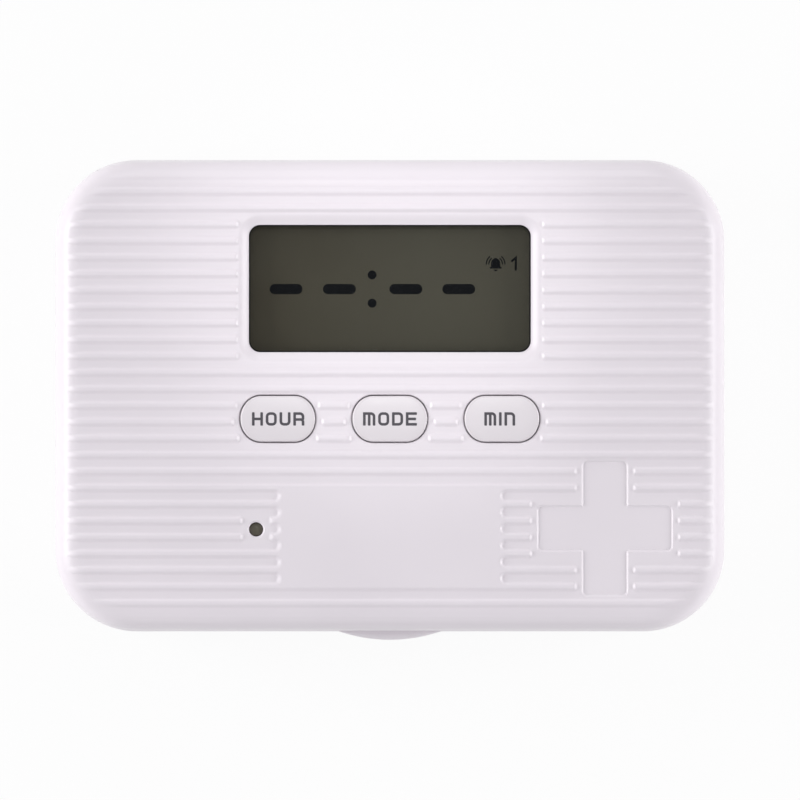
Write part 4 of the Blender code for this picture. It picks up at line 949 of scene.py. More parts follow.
@dataclass
class LidShell:
    """The upper moulding: face, sides, thumb lip, openings, hinge knuckles, bosses and posts."""

    wall: float = 1.8
    edge_steps: int = 16
    rim_break: float = 0.2
    dish_depth: float = 0.78
    dish_width: float = 1.86
    dish_steps: int = 14
    key_edge: tuple[Point, ...] = ((0.0, -0.3), (0.03, -0.16), (0.09, -0.07), (0.18, -0.02), (0.3, 0.0))
    cross_arm: Point = (3.95, 11.95)
    relief: FaceRelief = field(default_factory=FaceRelief)

    def outer(self) -> Form:
        """The outer body, closed at the face and at the rim."""
        rings = [level(box_plan(self.rim_break), PLAN.lid_rim_z),
                 level(box_plan(0.05), PLAN.lid_rim_z + 0.06),
                 level(box_plan(0.0), PLAN.lid_rim_z + self.rim_break)]
        for step in range(self.edge_steps + 1):
            inset = PLAN.draft + PLAN.edge_radius * (1 - math.cos(QUARTER * step / self.edge_steps))
            rings.append(level(box_plan(inset), face_height(inset)))
        return Form().loft(rings)

    def hollow(self) -> Form:
        """The space inside."""
        radius, steps = 1.3, 6
        levels = [(0.0, PLAN.lid_rim_z - OVERRUN), (0.0, PLAN.lid_rim_z)]
        for step in range(steps + 1):
            turn = QUARTER * step / steps
            levels.append((PLAN.draft + radius * (1 - math.cos(turn)),
                           PLAN.ceiling_z - radius * (1 - math.sin(turn))))
        return Form().loft([level(box_plan(self.wall + inset, PLAN.hinge_wall + inset, 16), height)
                            for inset, height in levels])

    def lip(self) -> Form:
        """The thumb lip, a shallow arc that stands out from the front rim."""
        width, reach, height, root = 18.2, 1.5, 3.2, -PLAN.half_depth + 0.9
        radius = ((width / 2) ** 2 + reach ** 2) / (2 * reach)
        half_sweep = math.asin(width / 2 / radius)
        bow = arc((0.0, radius), (radius, radius), -QUARTER - half_sweep, 2 * half_sweep, 32)
        rings = []
        for share, up in ((0.9, 0.0), (1.0, 0.12), (1.0, height - 1.1), (0.97, height - 0.8),
                          (0.88, height - 0.5), (0.72, height - 0.25), (0.5, height - 0.08), (0.2, height)):
            points = [(x, -PLAN.half_depth + (y - reach) * share) for x, y in bow]
            points += [(width / 2, root), (-width / 2, root)]
            rings.append(level(points, PLAN.lid_rim_z + up))
        return Form().loft(rings)

    def dish(self) -> list[list[Point3]]:
        """The display opening's rings: straight walls, then the dish that rises to the face."""
        floor = PLAN.face_z - self.dish_depth
        break_width = 0.12
        rings = [level(window_plan(0.0), PLAN.ceiling_z - OVERRUN), level(window_plan(0.0), floor - 0.12),
                 level(window_plan(0.04), floor - 0.03), level(window_plan(break_width), floor)]
        for step in range(1, self.dish_steps + 1):
            share = step / self.dish_steps
            rise = share ** 1.5 * (2.5 - 1.5 * share)
            rings.append(level(window_plan(break_width + self.dish_width * share),
                               floor + self.dish_depth * rise))
        return rings + [level(window_plan(break_width + self.dish_width), PLAN.face_z + OVERRUN)]

    def openings(self) -> Form:
        """The cutters for the display, the buttons, the lamp and the sunk cross."""
        face, under = PLAN.face_z, PLAN.ceiling_z - OVERRUN
        form = Form().loft(self.dish())
        for x in KEY_CENTRES:
            form.loft([level(key_plan(x, 0.0), under)]
                      + [level(key_plan(x, out), face + drop) for out, drop in self.key_edge]
                      + [level(key_plan(x, self.key_edge[-1][0]), face + OVERRUN)])
        form.turned(PLAN.lamp, [(1.27, under), (1.27, face - 0.33), (1.31, face - 0.24), (1.5, face - 0.06),
                                (1.6, face - 0.01), (1.68, face), (1.68, face + OVERRUN)], 64)
        form.loft([level(self.cross_plan(grow), face + drop) for grow, drop in (
            (-0.2, -0.3), (-0.1, -0.28), (0.0, -0.23), (0.08, -0.14), (0.16, -0.06), (0.24, -0.015),
            (0.34, 0.0), (0.34, OVERRUN))])
        return form

    def cross_plan(self, grow: float) -> list[Point]:
        """The sunk cross, grown outwards."""
        half, arm = self.cross_arm
        corners: list[Point] = []
        for cosine, sine in ((1, 0), (0, 1), (-1, 0), (0, -1)):
            for x, y in ((half, -arm), (half, -half), (arm, -half)):
                corners.append((PLAN.cross[0] + x * cosine - y * sine, PLAN.cross[1] + x * sine + y * cosine))
        return grown(corners, grow, 0.8, 0.16)

    def columns(self, board: tuple[float, float, float], cover: tuple[float, float, float]) -> Form:
        """Upright rods at the board's and the cover's screws, each given as radius, low and high."""
        form = Form()
        for places, (radius, low, high) in ((PLAN.board_screws, board), (PLAN.cover_screws, cover)):
            for place in places:
                form.turned(place, [(radius, low), (radius, high)])
        return form

    def build(self) -> None:
        """Make the lid shell."""
        shell = self.outer()
        clear = PLAN.knuckle_radius + PLAN.knuckle_play
        posts = self.columns((2.2, 19.9, 27.2), (2.4, 17.3, 27.2))
        pilots = self.columns((1.0, 18.9, 23.4), (1.1, 16.0, 22.3))
        latch_groove = Form().block((-7.3, -40.65, 12.15), (7.3, -39.5, 13.15))
        shell.cut(self.hollow()).cut(hinge_relief(1)).cut(hinge_bars(BASE_KNUCKLES, 5.6, clear))
        shell.join(hinge_bars(STATIONS, 8.0, PLAN.knuckle_radius)).cut(pin_bores())
        shell.join(self.lip()).cut(self.openings()).join(posts).cut(pilots).cut(latch_groove)
        shell.take(self.relief.build())
        shell.piece("lid_moulding", Body.LID, Slot.SHELL, SHELL, "lid_shell")


class Pen:
    """Draws letters and marks as thin raised strokes with round ends."""

    def __init__(self, width: float, low: float, high: float) -> None:
        self.width = width
        self.low = low
        self.high = high
        self.form = Form()
        self.strokes = 0

    def stroke(self, *points: Point) -> None:
        """A line through points, mitred at its bends and nearly square at its ends."""
        path = [Vector(point) for point in points]
        heads = [(after - here).normalized() for here, after in zip(path, path[1:])]
        left: list[Vector] = []
        right: list[Vector] = []
        for here, before, after in zip(path[1:-1], heads, heads[1:]):
            along = (before + after).normalized()
            side = Vector((-along.y, along.x)) * (self.width / 2 / max(along.dot(before), 0.4))
            left.append(here + side)
            right.append(here - side)
        outline = self.cap(path[0], -heads[0]) + right + self.cap(path[-1], heads[-1]) + left[::-1]
        self.fill([(point.x, point.y) for point in outline])

    def cap(self, end: Vector, ahead: Vector) -> list[Vector]:
        """The end of a line, from its right-hand side round to its left."""
        half = self.width / 2
        side = Vector((-ahead.y, ahead.x))
        return [end + half * (ahead * reach + side * across) for across, reach in
                ((-1.0, 0.0), (-1.0, 0.65), (-0.65, 1.0), (0.65, 1.0), (1.0, 0.65), (1.0, 0.0))]

    def fill(self, outline: Sequence[Point]) -> None:
        """A filled outline."""
        lift = 0.0008 * (self.strokes % 5)
        self.strokes += 1
        area = sum(a[0] * b[1] - b[0] * a[1] for a, b in zip(outline, [*outline[1:], outline[0]]))
        points = list(outline) if area > 0.0 else list(reversed(outline))
        self.form.prism(points, self.low, self.high + lift)

    def ring(self, centre: Point, size: Point, radius: float) -> None:
        """A closed rounded frame, measured at the middle of its line."""
        half = self.width / 2
        outer = centred_box(centre, (size[0] + self.width, size[1] + self.width), radius + half, 8)
        inner = centred_box(centre, (size[0] - self.width, size[1] - self.width), max(radius - half, 0.05), 8)
        self.band(outer, inner)

    def band(self, outer: Sequence[Point], inner: Sequence[Point]) -> None:
        """The closed band between two outlines that have the same number of points."""
        rings = [level(outer, self.low), level(outer, self.high), level(inner, self.high),
                 level(inner, self.low)]
        rows = [[self.form.mesh.verts.new(point) for point in ring] for ring in rings]
        count = len(outer)
        for number, row in enumerate(rows):
            after_row = rows[(number + 1) % 4]
            for index in range(count):
                after = (index + 1) % count
                self.form.mesh.faces.new((row[index], row[after], after_row[after], after_row[index]))
        self.strokes += 1


class Lettering:
    """Plain block capitals drawn with a pen."""

    def __init__(self, pen: Pen, height: float) -> None:
        self.pen = pen
        self.height = height

    def letter(self, name: str, x: float, y: float, width: float) -> None:
        """One capital with its lower left corner, at the line's middle, at a place."""
        top, middle = y + self.height, y + self.height / 2
        right, half = x + width, x + width / 2
        bow = 0.28 * self.height
        if name == "O":
            self.pen.ring((half, middle), (width, self.height), bow)
            return
        stem = [(x, y), (x, top)]
        arch = [*stem, *self.shoulder((right, top), bow), (right, y)]
        lines = {
            "H": [stem, [(right, y), (right, top)], [(x, middle), (right, middle)]],
            "U": [[(x, top), *self.bend((x, y), (right, y), bow), (right, top)]],
            "R": [stem, [(x, top), *self.shoulder((right, top), bow), (right, middle + 0.1)],
                  [(x, middle - 0.1), *self.shoulder((right, middle - 0.1), bow * 0.8), (right, y)]],
            "M": [arch, [(half, y), (half, top)]],
            "D": [stem, [(x, top), *self.turn_down((right, top), y, bow), (x, y)]],
            "E": [[(right, top), (x, top), (x, y), (right, y)], [(x, middle), (right - 0.1 * width, middle)]],
            "I": [stem],
            "N": [arch],
        }
        for line in lines[name]:
            self.pen.stroke(*line)

    def bend(self, left: Point, right: Point, radius: float) -> list[Point]:
        """The two lower round corners of a U."""
        return (arc((left[0] + radius, left[1] + radius), (radius, radius), math.pi, QUARTER, 6)
                + arc((right[0] - radius, right[1] + radius), (radius, radius), -QUARTER, QUARTER, 6))

    def shoulder(self, corner: Point, radius: float) -> list[Point]:
        """A round upper right corner."""
        return arc((corner[0] - radius, corner[1] - radius), (radius, radius), QUARTER, -QUARTER, 6)

    def turn_down(self, corner: Point, low: float, radius: float) -> list[Point]:
        """The round right side of a bowl, from its top down to a height."""
        return (self.shoulder(corner, radius)
                + arc((corner[0] - radius, low + radius), (radius, radius), 0.0, -QUARTER, 6))

    def word(self, letters: str, centre: Point, width: float) -> None:
        """A word centred on a place and set to a width, measured over its ink."""
        shares = {"I": 0.0, "M": 1.15}
        total = sum(shares.get(name, 1.0) for name in letters)
        space = 0.5
        inner = width - self.pen.width - (space + self.pen.width) * (len(letters) - 1)
        unit = inner / total
        x = centre[0] - width / 2 + self.pen.width / 2
        y = centre[1] - self.height / 2
        for name in letters:
            wide = unit * shares.get(name, 1.0)
            self.letter(name, x, y, wide)
            x += wide + self.pen.width + space


@dataclass
class Key:
    """One push button with its printed legend, and the plunger that it presses."""

    name: str
    body: Body
    legend: str
    x: float
    legend_centre: float
    legend_width: float
    gap: float = 0.17
    stem_radius: float = 1.6
    stem_z: float = 24.5
    flange: float = 1.0
    flange_z: float = 25.1
    top_z: float = 28.4
    edge: tuple[Point, ...] = ((0.0, 0.42), (0.03, 0.24), (0.1, 0.1), (0.2, 0.025), (0.32, 0.0))
    crown: float = 0.1
    crown_width: float = 2.6

    def cap(self) -> None:
        """The oval cap with its flange and stem."""
        stem = circle((self.x, PLAN.button_y), self.stem_radius, 2 * (KEY_STEPS + 1))
        flange = key_plan(self.x, self.flange)
        rings = [level(stem, self.stem_z), level(stem, self.flange_z), level(flange, self.flange_z),
                 level(flange, PLAN.hung_z), level(key_plan(self.x, -self.gap), PLAN.hung_z)]
        for inset, drop in self.edge:
            rings.append(level(key_plan(self.x, -self.gap - inset), self.top_z - drop))
        for share in (0.3, 0.6, 0.9):
            inset = self.gap + self.edge[-1][0] + self.crown_width * share
            rings.append(level(key_plan(self.x, -inset), self.top_z + self.crown * (1 - (1 - share) ** 2)))
        Form().loft(rings).piece(f"{self.name}_cap", self.body, Slot.KEY, KEY, f"{self.name}_button")

    def print_legend(self) -> None:
        """The legend, printed on the crown."""
        pen = Pen(0.47, self.top_z - 0.06, self.top_z + self.crown + 0.012)
        Lettering(pen, 1.92).word(self.legend, (self.legend_centre, PLAN.button_y - 0.02), self.legend_width)
        pen.form.piece(f"{self.name}_legend", self.body, Slot.KEY, LEGEND)

    def build(self) -> None:
        """Make the key and give its plunger a finish."""
        self.cap()
        self.print_legend()
        dress(f"{self.name}_plunger", SWITCH)
        dress(f"{self.name}_switch", SWITCH)


@dataclass
class Display:
    """The clock's display: pane, glass, its printed segments, holder and contact strip."""

    glass_top: float = 25.0

    def pane(self) -> None:
        """The clear window."""
        top = PLAN.face_z - PLAN.pane_sink
        rings = [level(window_plan(1.3), 25.3), level(window_plan(1.3), PLAN.hung_z),
                 level(window_plan(-0.2), PLAN.hung_z), level(window_plan(-0.2), top - 0.16),
                 level(window_plan(-0.24), top - 0.05), level(window_plan(-0.34), top)]
        Form().loft(rings).piece("display_pane", Body.LID, Slot.PANE, PANE, "display_window")

    def pane_gap_shadow(self) -> None:
        """A thin dark band just inside the window's edge: painted shadow of the gap between pane and lid."""
        top = PLAN.face_z - PLAN.pane_sink
        # painted shadow: dark band laid on the pane's edge where the gap to the lid is shaded
        pen = Pen(0.17, top - 0.12, top + 0.005)
        pen.band(window_plan(-0.02), window_plan(-0.26))
        pen.form.piece("pane_gap_shadow", Body.LID, Slot.PANE, PAINTED_GAP_SHADOW)

    def glass(self) -> None:
        """The sandwich of two glass sheets, the lower one with its contact ledge."""
        low = self.glass_top - 2.2
        width, height, ledge, corner = 54.3, 26.7, 1.8, 0.15
        upper_centre = (0.0, PLAN.window[1] + ledge / 2)
        form = Form().prism(centred_box(PLAN.window, (width, height), corner, 2), low, low + 1.05)
        form.prism(centred_box(upper_centre, (width, height - ledge), corner, 2), low + 1.07, self.glass_top)
        form.piece("crystal_glass", Body.LID, Slot.GLASS, CRYSTAL, "display_glass", edge=0.05)

    def segments(self) -> None:
        """Four dashes, a colon, an alarm bell and the alarm's number."""
        pen = Pen(0.3, self.glass_top - 0.02, self.glass_top + 0.012)
        for x in (-18.54, -9.01, 2.87, 12.32):
            pen.fill(stadium((x, 19.02), (5.88, 1.82), 0.91, 12))
        for y in (21.55, 16.5):
            pen.fill(circle((-3.16, y), 0.8, 28))
        self.bell(pen, (18.91, 23.45))
        pen.width = 0.38
        pen.stroke((21.86, 24.06), (22.52, 24.62), (22.5, 22.52))
        pen.form.piece("segments", Body.LID, Slot.GLASS, SEGMENT)

    def bell(self, pen: Pen, centre: Point) -> None:
        """A small alarm bell with two sound arcs at each side."""
        x, y = centre
        half = [(0.98, -0.77), (1.1, -0.66), (1.06, -0.52), (0.84, -0.42), (0.8, 0.34), (0.68, 0.68),
                (0.4, 0.94), (0.16, 1.1)]
        pen.fill([(x + across, y + up) for across, up in half]
                 + [(x - across, y + up) for across, up in reversed(half)])
        pen.fill(arc((x, y - 0.94), (0.36, 0.3), math.pi, math.pi, 10))
        pen.width = 0.2
        for start in (-0.02, math.pi - 0.87):
            for radius in (1.2, 1.66):
                pen.stroke(*arc((x, y + 0.08), (radius, radius), start, 0.89, 8))

    def build(self) -> None:
        """Make the display."""
        self.pane()
        self.pane_gap_shadow()
        self.glass()
        self.segments()
        dress("display_holder", HOLDER)
        dress("contact_strip", RUBBER)


@dataclass
class AlarmLamp:
    """The dark lens in the small hole beside the label panel."""

    radius: float = 1.17
    dome_low: float = 27.3
    dome_rise: float = 0.3

    def build(self) -> None:
        """Make the lamp: flanged body, waist and domed lens that looks out of the hole."""
        profile = [(1.9, 19.9), (1.9, 20.9), (1.5, 20.92), (1.5, 25.9), (self.radius, 26.0),
                   (self.radius, self.dome_low)]
        for step in range(1, 9):
            turn = QUARTER * step / 8
            profile.append((max(self.radius * math.cos(turn), 0.02),
                            self.dome_low + self.dome_rise * math.sin(turn)))
        Form().turned(PLAN.lamp, profile).piece("lamp_lens", Body.LID, Slot.LAMP, LAMP, "indicator_lamp")


@dataclass
class BaseShell:
    """The lower moulding: foot ring, stepped rim, four pill wells, hinge knuckles and latch bead."""

    edge_radius: float = 2.0
    foot_inset: float = 6.5
    foot_height: float = 0.6
    floor_top: float = 2.2
    well_wall: float = 1.4
    divider: float = 1.8
    well_draft: float = 0.4
    well_corner: float = 4.0
    floor_radius: float = 3.0
    step_inset: float = 2.1
    step_rear: float = 5.9
    bead_width: float = 14.0

    def outer(self) -> Form:
        """The outside with the step that the lid closes over."""
        rings = []
        for step in range(11):
            turn = QUARTER * step / 10
            inset = PLAN.draft + self.edge_radius * (1 - math.sin(turn))
            rings.append(level(box_plan(inset), self.edge_radius * (1 - math.cos(turn))))
        rim, top = PLAN.rim_z, PLAN.step_top_z
        rings += [level(box_plan(inset), rim - drop) for inset, drop in ((0.0, 0.2), (0.05, 0.06), (0.2, 0.0))]
        for inset, height in ((-0.12, rim), (-0.04, rim + 0.05), (0.0, rim + 0.16), (0.0, top - 0.35),
                              (0.06, top - 0.15), (0.18, top - 0.04), (0.32, top)):
            rings.append(level(box_plan(self.step_inset + inset, self.step_rear + inset), height))
        return Form().loft(rings)

    def well(self, left: float, right: float, front: float, rear: float, radii: Sequence[float]) -> Form:
        """The space of one well, from its round floor to its broken upper edge."""
        levels = []
        for step in range(9):
            turn = QUARTER * step / 8
            levels.append((self.well_draft + self.floor_radius * (1 - math.sin(turn)),
                           self.floor_top + self.floor_radius * (1 - math.cos(turn))))
        top = PLAN.step_top_z
        levels += [(0.0, top - 0.3), (-0.06, top - 0.13), (-0.18, top - 0.03), (-0.3, top),
                   (-0.3, top + OVERRUN)]
        return Form().loft([level(rounded_box(left + inset, right - inset, front + inset, rear - inset,
                                              [max(radius - inset, radius * 0.3) for radius in radii], 12),
                                  height) for inset, height in levels])

    def wells(self) -> Form:
        """The spaces of the four wells."""
        side = PLAN.half_width - self.step_inset - self.well_wall
        front = -PLAN.half_depth + self.step_inset + self.well_wall
        rear = PLAN.half_depth - self.step_rear - self.well_wall
        middle, half = (front + rear) / 2, self.divider / 2
        outer, inner = PLAN.corner - self.step_inset - self.well_wall, self.well_corner
        form = Form()
        for bounds in ((-side, -half, front, middle - half, (inner, inner, inner, outer)),
                       (half, side, front, middle - half, (outer, inner, inner, inner)),
                       (-side, -half, middle + half, rear, (inner, inner, outer, inner)),
                       (half, side, middle + half, rear, (inner, outer, inner, inner))):
            form.take(self.well(*bounds))
        return form

    def latch(self) -> Form:
        """The bead that holds the lid shut."""
        middle, place = PLAN.rim_z + 0.65, (0.0, -PLAN.half_depth + self.step_inset)
        half, rise, steps = 0.15, 0.25, 4
        rings = []
        for step in range(-steps, steps + 1):
            turn = QUARTER * step / steps
            swell = half * (math.cos(turn) - 0.5)
            width = self.bead_width - 2 * half * (1 - math.cos(turn))
            rings.append(level(stadium(place, (width, 2 * (half + swell)), half + swell * 0.9, 10),
                               middle + rise * math.sin(turn)))
        return Form().loft(rings)

    def build(self) -> None:
        """Make the base shell."""
        shell = self.outer().cut(self.wells())
        shell.cut(Form().loft([level(box_plan(self.foot_inset + inset), height) for inset, height in (
            (-0.2, -OVERRUN), (-0.2, 0.0), (0.0, 0.15), (0.25, self.foot_height))]))
        shell.cut(hinge_relief(-1)).cut(hinge_bars(STATIONS, 8.6, PLAN.knuckle_radius + PLAN.knuckle_play))
        shell.join(hinge_bars(BASE_KNUCKLES, 5.0, PLAN.knuckle_radius)).cut(pin_bores())
        shell.join(self.latch())
        shell.piece("base_moulding", Body.BASE, Slot.SHELL, SHELL, "base_shell")


@dataclass
class HingePin:
    """A steel pin with broken ends through one hinge station."""

    side: str
    station: float
    length: float = 18.6
    radius: float = 0.7

    def build(self) -> None:
        """Make the pin."""
        point = [(0.0, self.radius - 0.2), (0.06, self.radius - 0.08), (0.2, self.radius)]
        profile = point + [(self.length - distance, radius) for distance, radius in reversed(point)]
        start = (self.station - self.length / 2, PLAN.hinge_y, PLAN.hinge_z)
        Form().rod(start, profile, 32).piece(f"pin_{self.side}", Body.BASE, Slot.STEEL, STEEL,
                                             f"hinge_pin_{self.side}")


@dataclass
class BatteryBay:
    """The inner cover with its battery bay, and the sliding door under it."""

    travel: float = 4.0
    tab_shares: Point = (0.14, 0.7)
    tab_length: float = 3.4
    gap: float = PLAN.gap
    wall: float = 1.2
    skin: float = 0.9
    edge: tuple[Point, ...] = ((0.15, 0.0), (0.03, 0.06), (0.0, 0.2))
    bore: float = 2.2
    pilot: float = 1.1
    bore_top: float = 15.8
    slot_pitch: float = 2.6
    groove_pitch: float = 1.6

    @property
    def front(self) -> float:
        """The bay's front wall."""
        return PLAN.panel_y - PLAN.bay_half

    @property
    def rear(self) -> float:
        """The bay's rear wall."""
        return PLAN.panel_y + PLAN.bay_half

    @property
    def length(self) -> float:
        """The bay's length along x."""
        return PLAN.bay_right - PLAN.bay_left

    @property
    def middle(self) -> Point:
        """The middle of the bay's plan."""
        return ((PLAN.bay_left + PLAN.bay_right) / 2, PLAN.panel_y)

    def broken(self, top: float, drop: float, inset: float) -> list[Point]:
        """Insets and heights of a plate's broken lower and upper edges."""
        lower = [(inward, PLAN.cover_low_z + up) for inward, up in self.edge]
        return lower + [(0.0, top - drop), (inset, top)]

    def tabs(self, x_grow: Point, y_grow: float, low: float, high: float) -> Form:
        """The door's four tabs, grown by a play along the door and across it."""
        form = Form()
        for share in self.tab_shares:
            left = PLAN.bay_left + (PLAN.bay_right - PLAN.bay_left) * share
            for side in (-1, 1):
                inner = PLAN.panel_y + side * (PLAN.bay_half - 1.0)
                outer = PLAN.panel_y + side * (PLAN.bay_half - self.gap + 1.0 + y_grow)
                form.block((left - x_grow[0], min(inner, outer), low),
                           (left + self.tab_length + x_grow[1], max(inner, outer), high))
        return form

    def walls(self) -> Form:
        """The plate with the bay's walls, the pad over the door's end and the screw bosses."""
        top, wall, inside = PLAN.cover_top_z, self.wall, PLAN.cover_low_z + self.skin
        plate = Form().loft([level(box_plan(2.6 + inset, 6.4 + inset), height) for inset, height in
                             self.broken(top, 0.1, 0.1)])
        solid = centred_box(self.middle, (self.length + 2 * wall, 2 * (PLAN.bay_half + wall)), 0.8, 6)
        plate.join(Form().prism(solid, inside, PLAN.hung_z))
        plate.join(Form().block((PLAN.bay_right, self.front - wall, inside),
                                (PLAN.bay_right + 5.5, self.rear + wall, top + 1.2)))
        bosses = Form()
        for place in PLAN.cover_screws:
            bosses.turned(place, [(3.4, inside), (3.4, 16.8), (3.2, 17.0)], 48)
        return plate.join(bosses)

    def cover(self) -> None:
        """Make the inner cover."""
        low, gap = PLAN.cover_low_z, self.gap
        left, right = PLAN.bay_left, PLAN.bay_right
        cover = self.walls()
        under, over = low - OVERRUN, PLAN.hung_z + OVERRUN
        cover.cut(Form().block((left, self.front, under), (right, self.rear, over)))
        cover.cut(Form().block((right - OVERRUN, self.front, under),
                               (right + gap + self.travel, self.rear, PLAN.door_top_z + gap)))
        slot = low + 0.5
        cover.cut(self.tabs((gap, self.travel + gap), gap, slot, slot + 1.1))
        cover.cut(self.tabs((gap - self.travel, self.travel + gap), gap, under, slot + 0.5))
        tails = Form()
        for y in CELL_ROWS:
            tails.block((left - 6.0, y - 1.8, 19.6), (left + OVERRUN, y + 1.8, over))
        cover.cut(tails)
        bores = Form()
        for place in PLAN.cover_screws:
            bores.turned(place, [(self.bore + 0.3, under), (self.bore + 0.3, low), (self.bore + 0.05, low + 0.2),
                                 (self.bore, low + 0.4), (self.bore, self.bore_top),
                                 (self.pilot, self.bore_top), (self.pilot, 18.0)], 48)
        cover.cut(bores)
        slots = Form()
        for index in range(4):
            place = (PLAN.buzzer[0], PLAN.buzzer[1] + (index - 1.5) * self.slot_pitch)
            slots.loft([level(stadium(place, (9.0 + 2 * out, 1.2 + 2 * out), 0.6 + out, 12), height)
                        for out, height in ((0.25, under), (0.2, low), (0.04, low + 0.08), (0.0, low + 0.25),
                                            (0.0, PLAN.cover_top_z + OVERRUN))])
        cover.cut(slots)
        cover.piece("cover_moulding", Body.LID, Slot.SHELL, INNER, "inner_cover")

    def door(self) -> None:
        """Make the door: a plate with four tabs, grip grooves and a sunk arrow."""
        low, gap, deep = PLAN.cover_low_z, self.gap, 0.45
        size = (self.length - 2 * gap, 2 * (PLAN.bay_half - gap))
        door = Form().loft([level(centred_box(self.middle, (size[0] - 2 * inset, size[1] - 2 * inset),
                                              0.5 - inset, 6), height)
                            for inset, height in self.broken(PLAN.door_top_z, 0.15, 0.12)])
        door.join(self.tabs((0.0, 0.0), 0.0, low + 0.8, low + 1.3))
        marks = Form()
        for index in range(3):
            place = (PLAN.bay_right - 3.6 - index * self.groove_pitch, PLAN.panel_y)
            marks.loft([level(stadium(place, (0.8 + 2 * out, 9.0 + 2 * out), 0.4 + out, 10), low + up)
                        for out, up in ((0.12, -OVERRUN), (0.12, 0.0), (0.0, 0.13), (-0.08, deep))])
        tip, rear = PLAN.bay_right - 9.8, PLAN.bay_right - 17.3
        neck, half_shaft, half_head = tip - 3.5, 0.8, 2.8
        arrow = [(rear, -half_shaft), (neck, -half_shaft), (neck, -half_head), (tip, 0.0), (neck, half_head),
                 (neck, half_shaft), (rear, half_shaft)]
        marks.prism([(x, PLAN.panel_y + y) for x, y in arrow], low - OVERRUN, low + deep)
        door.cut(marks)
        door.piece("door_moulding", Body.DOOR, Slot.SHELL, INNER, "battery_door")

    def build(self) -> None:
        """Make cover and door."""
        self.cover()
        self.door()


@dataclass
class Fastener:
    """A pan-head screw that points up, with a cross recess and a threaded shank."""

    node: str
    place: Point
    head_low: float
    head_radius: float
    head_height: float
    shank_radius: float
    shank_length: float

    def thread(self) -> list[Point]:
        """The shank's turned outline with its thread crests."""
        top, crest, pitch = self.head_low + self.head_height, self.shank_radius, 0.62
        root, tip = crest * 0.78, top + self.shank_length
        profile = [(crest * 0.8, top), (crest * 0.8, top + 0.3)]
        height = top + 0.45
        while height < tip - crest - pitch:
            profile += [(root, height), (crest, height + pitch * 0.42), (crest, height + pitch * 0.52)]
            height += pitch
        return profile + [(root, height), (crest * 0.66, tip - crest), (crest * 0.12, tip)]

    def build(self) -> None:
        """Make the screw."""
        low, radius, height = self.head_low, self.head_radius, self.head_height
        profile = []
        for step in range(7):
            turn = QUARTER * step / 6
            profile.append((radius - height * 0.42 * (1 - math.sin(turn)),
                            low + height * 0.35 * (1 - math.cos(turn))))
        profile += [(radius, low + height - 0.08), (radius - 0.08, low + height)]
        head = Form().turned(self.place, profile + self.thread())
        reach, half, deep = radius * 0.58, radius * 0.13, height * 0.55
        for wide, long in ((half, reach), (reach, half)):
            head.cut(Form().loft([level(centred_box(self.place, (2 * wide * share, 2 * long * share), 0.02, 2),
                                        low + up) for share, up in ((1.0, -0.5), (1.0, 0.05), (0.55, deep))]))
        head.piece(f"{self.node}_turned", Body.LID, Slot.NICKEL, NICKEL, self.node)


@dataclass
class Cell:
    """A dry cell with its crimped sleeve, button and flat end."""

    node: str
    start: float
    y: float
    button_side: int
    radius: float = 5.25
    length: float = 44.5

    def build(self) -> None:
        """Make the cell."""
        flat_end = ((0.25, 3.6), (0.18, 3.9), (0.0, 4.1), (0.0, 4.75), (0.1, 5.05), (0.35, self.radius),
                    (0.9, self.radius), (1.0, self.radius - 0.1), (1.15, self.radius - 0.1), (1.25, self.radius))
        button_end = ((1.5, self.radius), (1.2, self.radius - 0.25), (1.1, 4.9), (1.1, 4.3), (1.35, 4.0),
                      (1.35, 2.3), (1.2, 1.95), (0.2, 1.85), (0.05, 1.7), (0.0, 1.4))
        profile = [*flat_end, *((self.length - distance, radius) for distance, radius in button_end)]
        if self.button_side < 0:
            profile = [(self.length - distance, radius) for distance, radius in reversed(profile)]
        jacket = CellJacket(f"{self.node}_jacket", middle_x=self.start + self.length / 2,
                            button_side=float(self.button_side))
        Form().rod((self.start, self.y, PLAN.cell_z), profile, 56).piece(
            f"{self.node}_body", Body.LID, Slot.CELL, jacket, self.node)


@dataclass
class CoilSpring:
    """A tapering contact spring that ends in a closed coil on its plate."""

    node: str
    seat_x: float
    direction: int
    y: float
    wire: float = 0.25
    reach: Point = (1.0, 3.7)
    radii: Point = (3.4, 1.4)
    turns: float = 2.75

    def build(self) -> None:
        """Make the spring."""
        start = self.seat_x + self.direction * (self.reach[0] + self.wire)
        finish = self.seat_x + self.direction * (self.reach[1] - self.wire)
        path = []
        count = 110
        for index in range(count + 1):
            share = index / count
            turn = math.tau * self.turns * share
            radius = self.radii[0] + (self.radii[1] - self.radii[0]) * share
            x = start + (finish - start) * share
            path.append(Vector((x, self.y + radius * math.cos(turn), PLAN.cell_z + radius * math.sin(turn))))
        Form().tube(path, self.wire, 12).piece(f"{self.node}_wire", Body.LID, Slot.STEEL, STEEL, self.node)


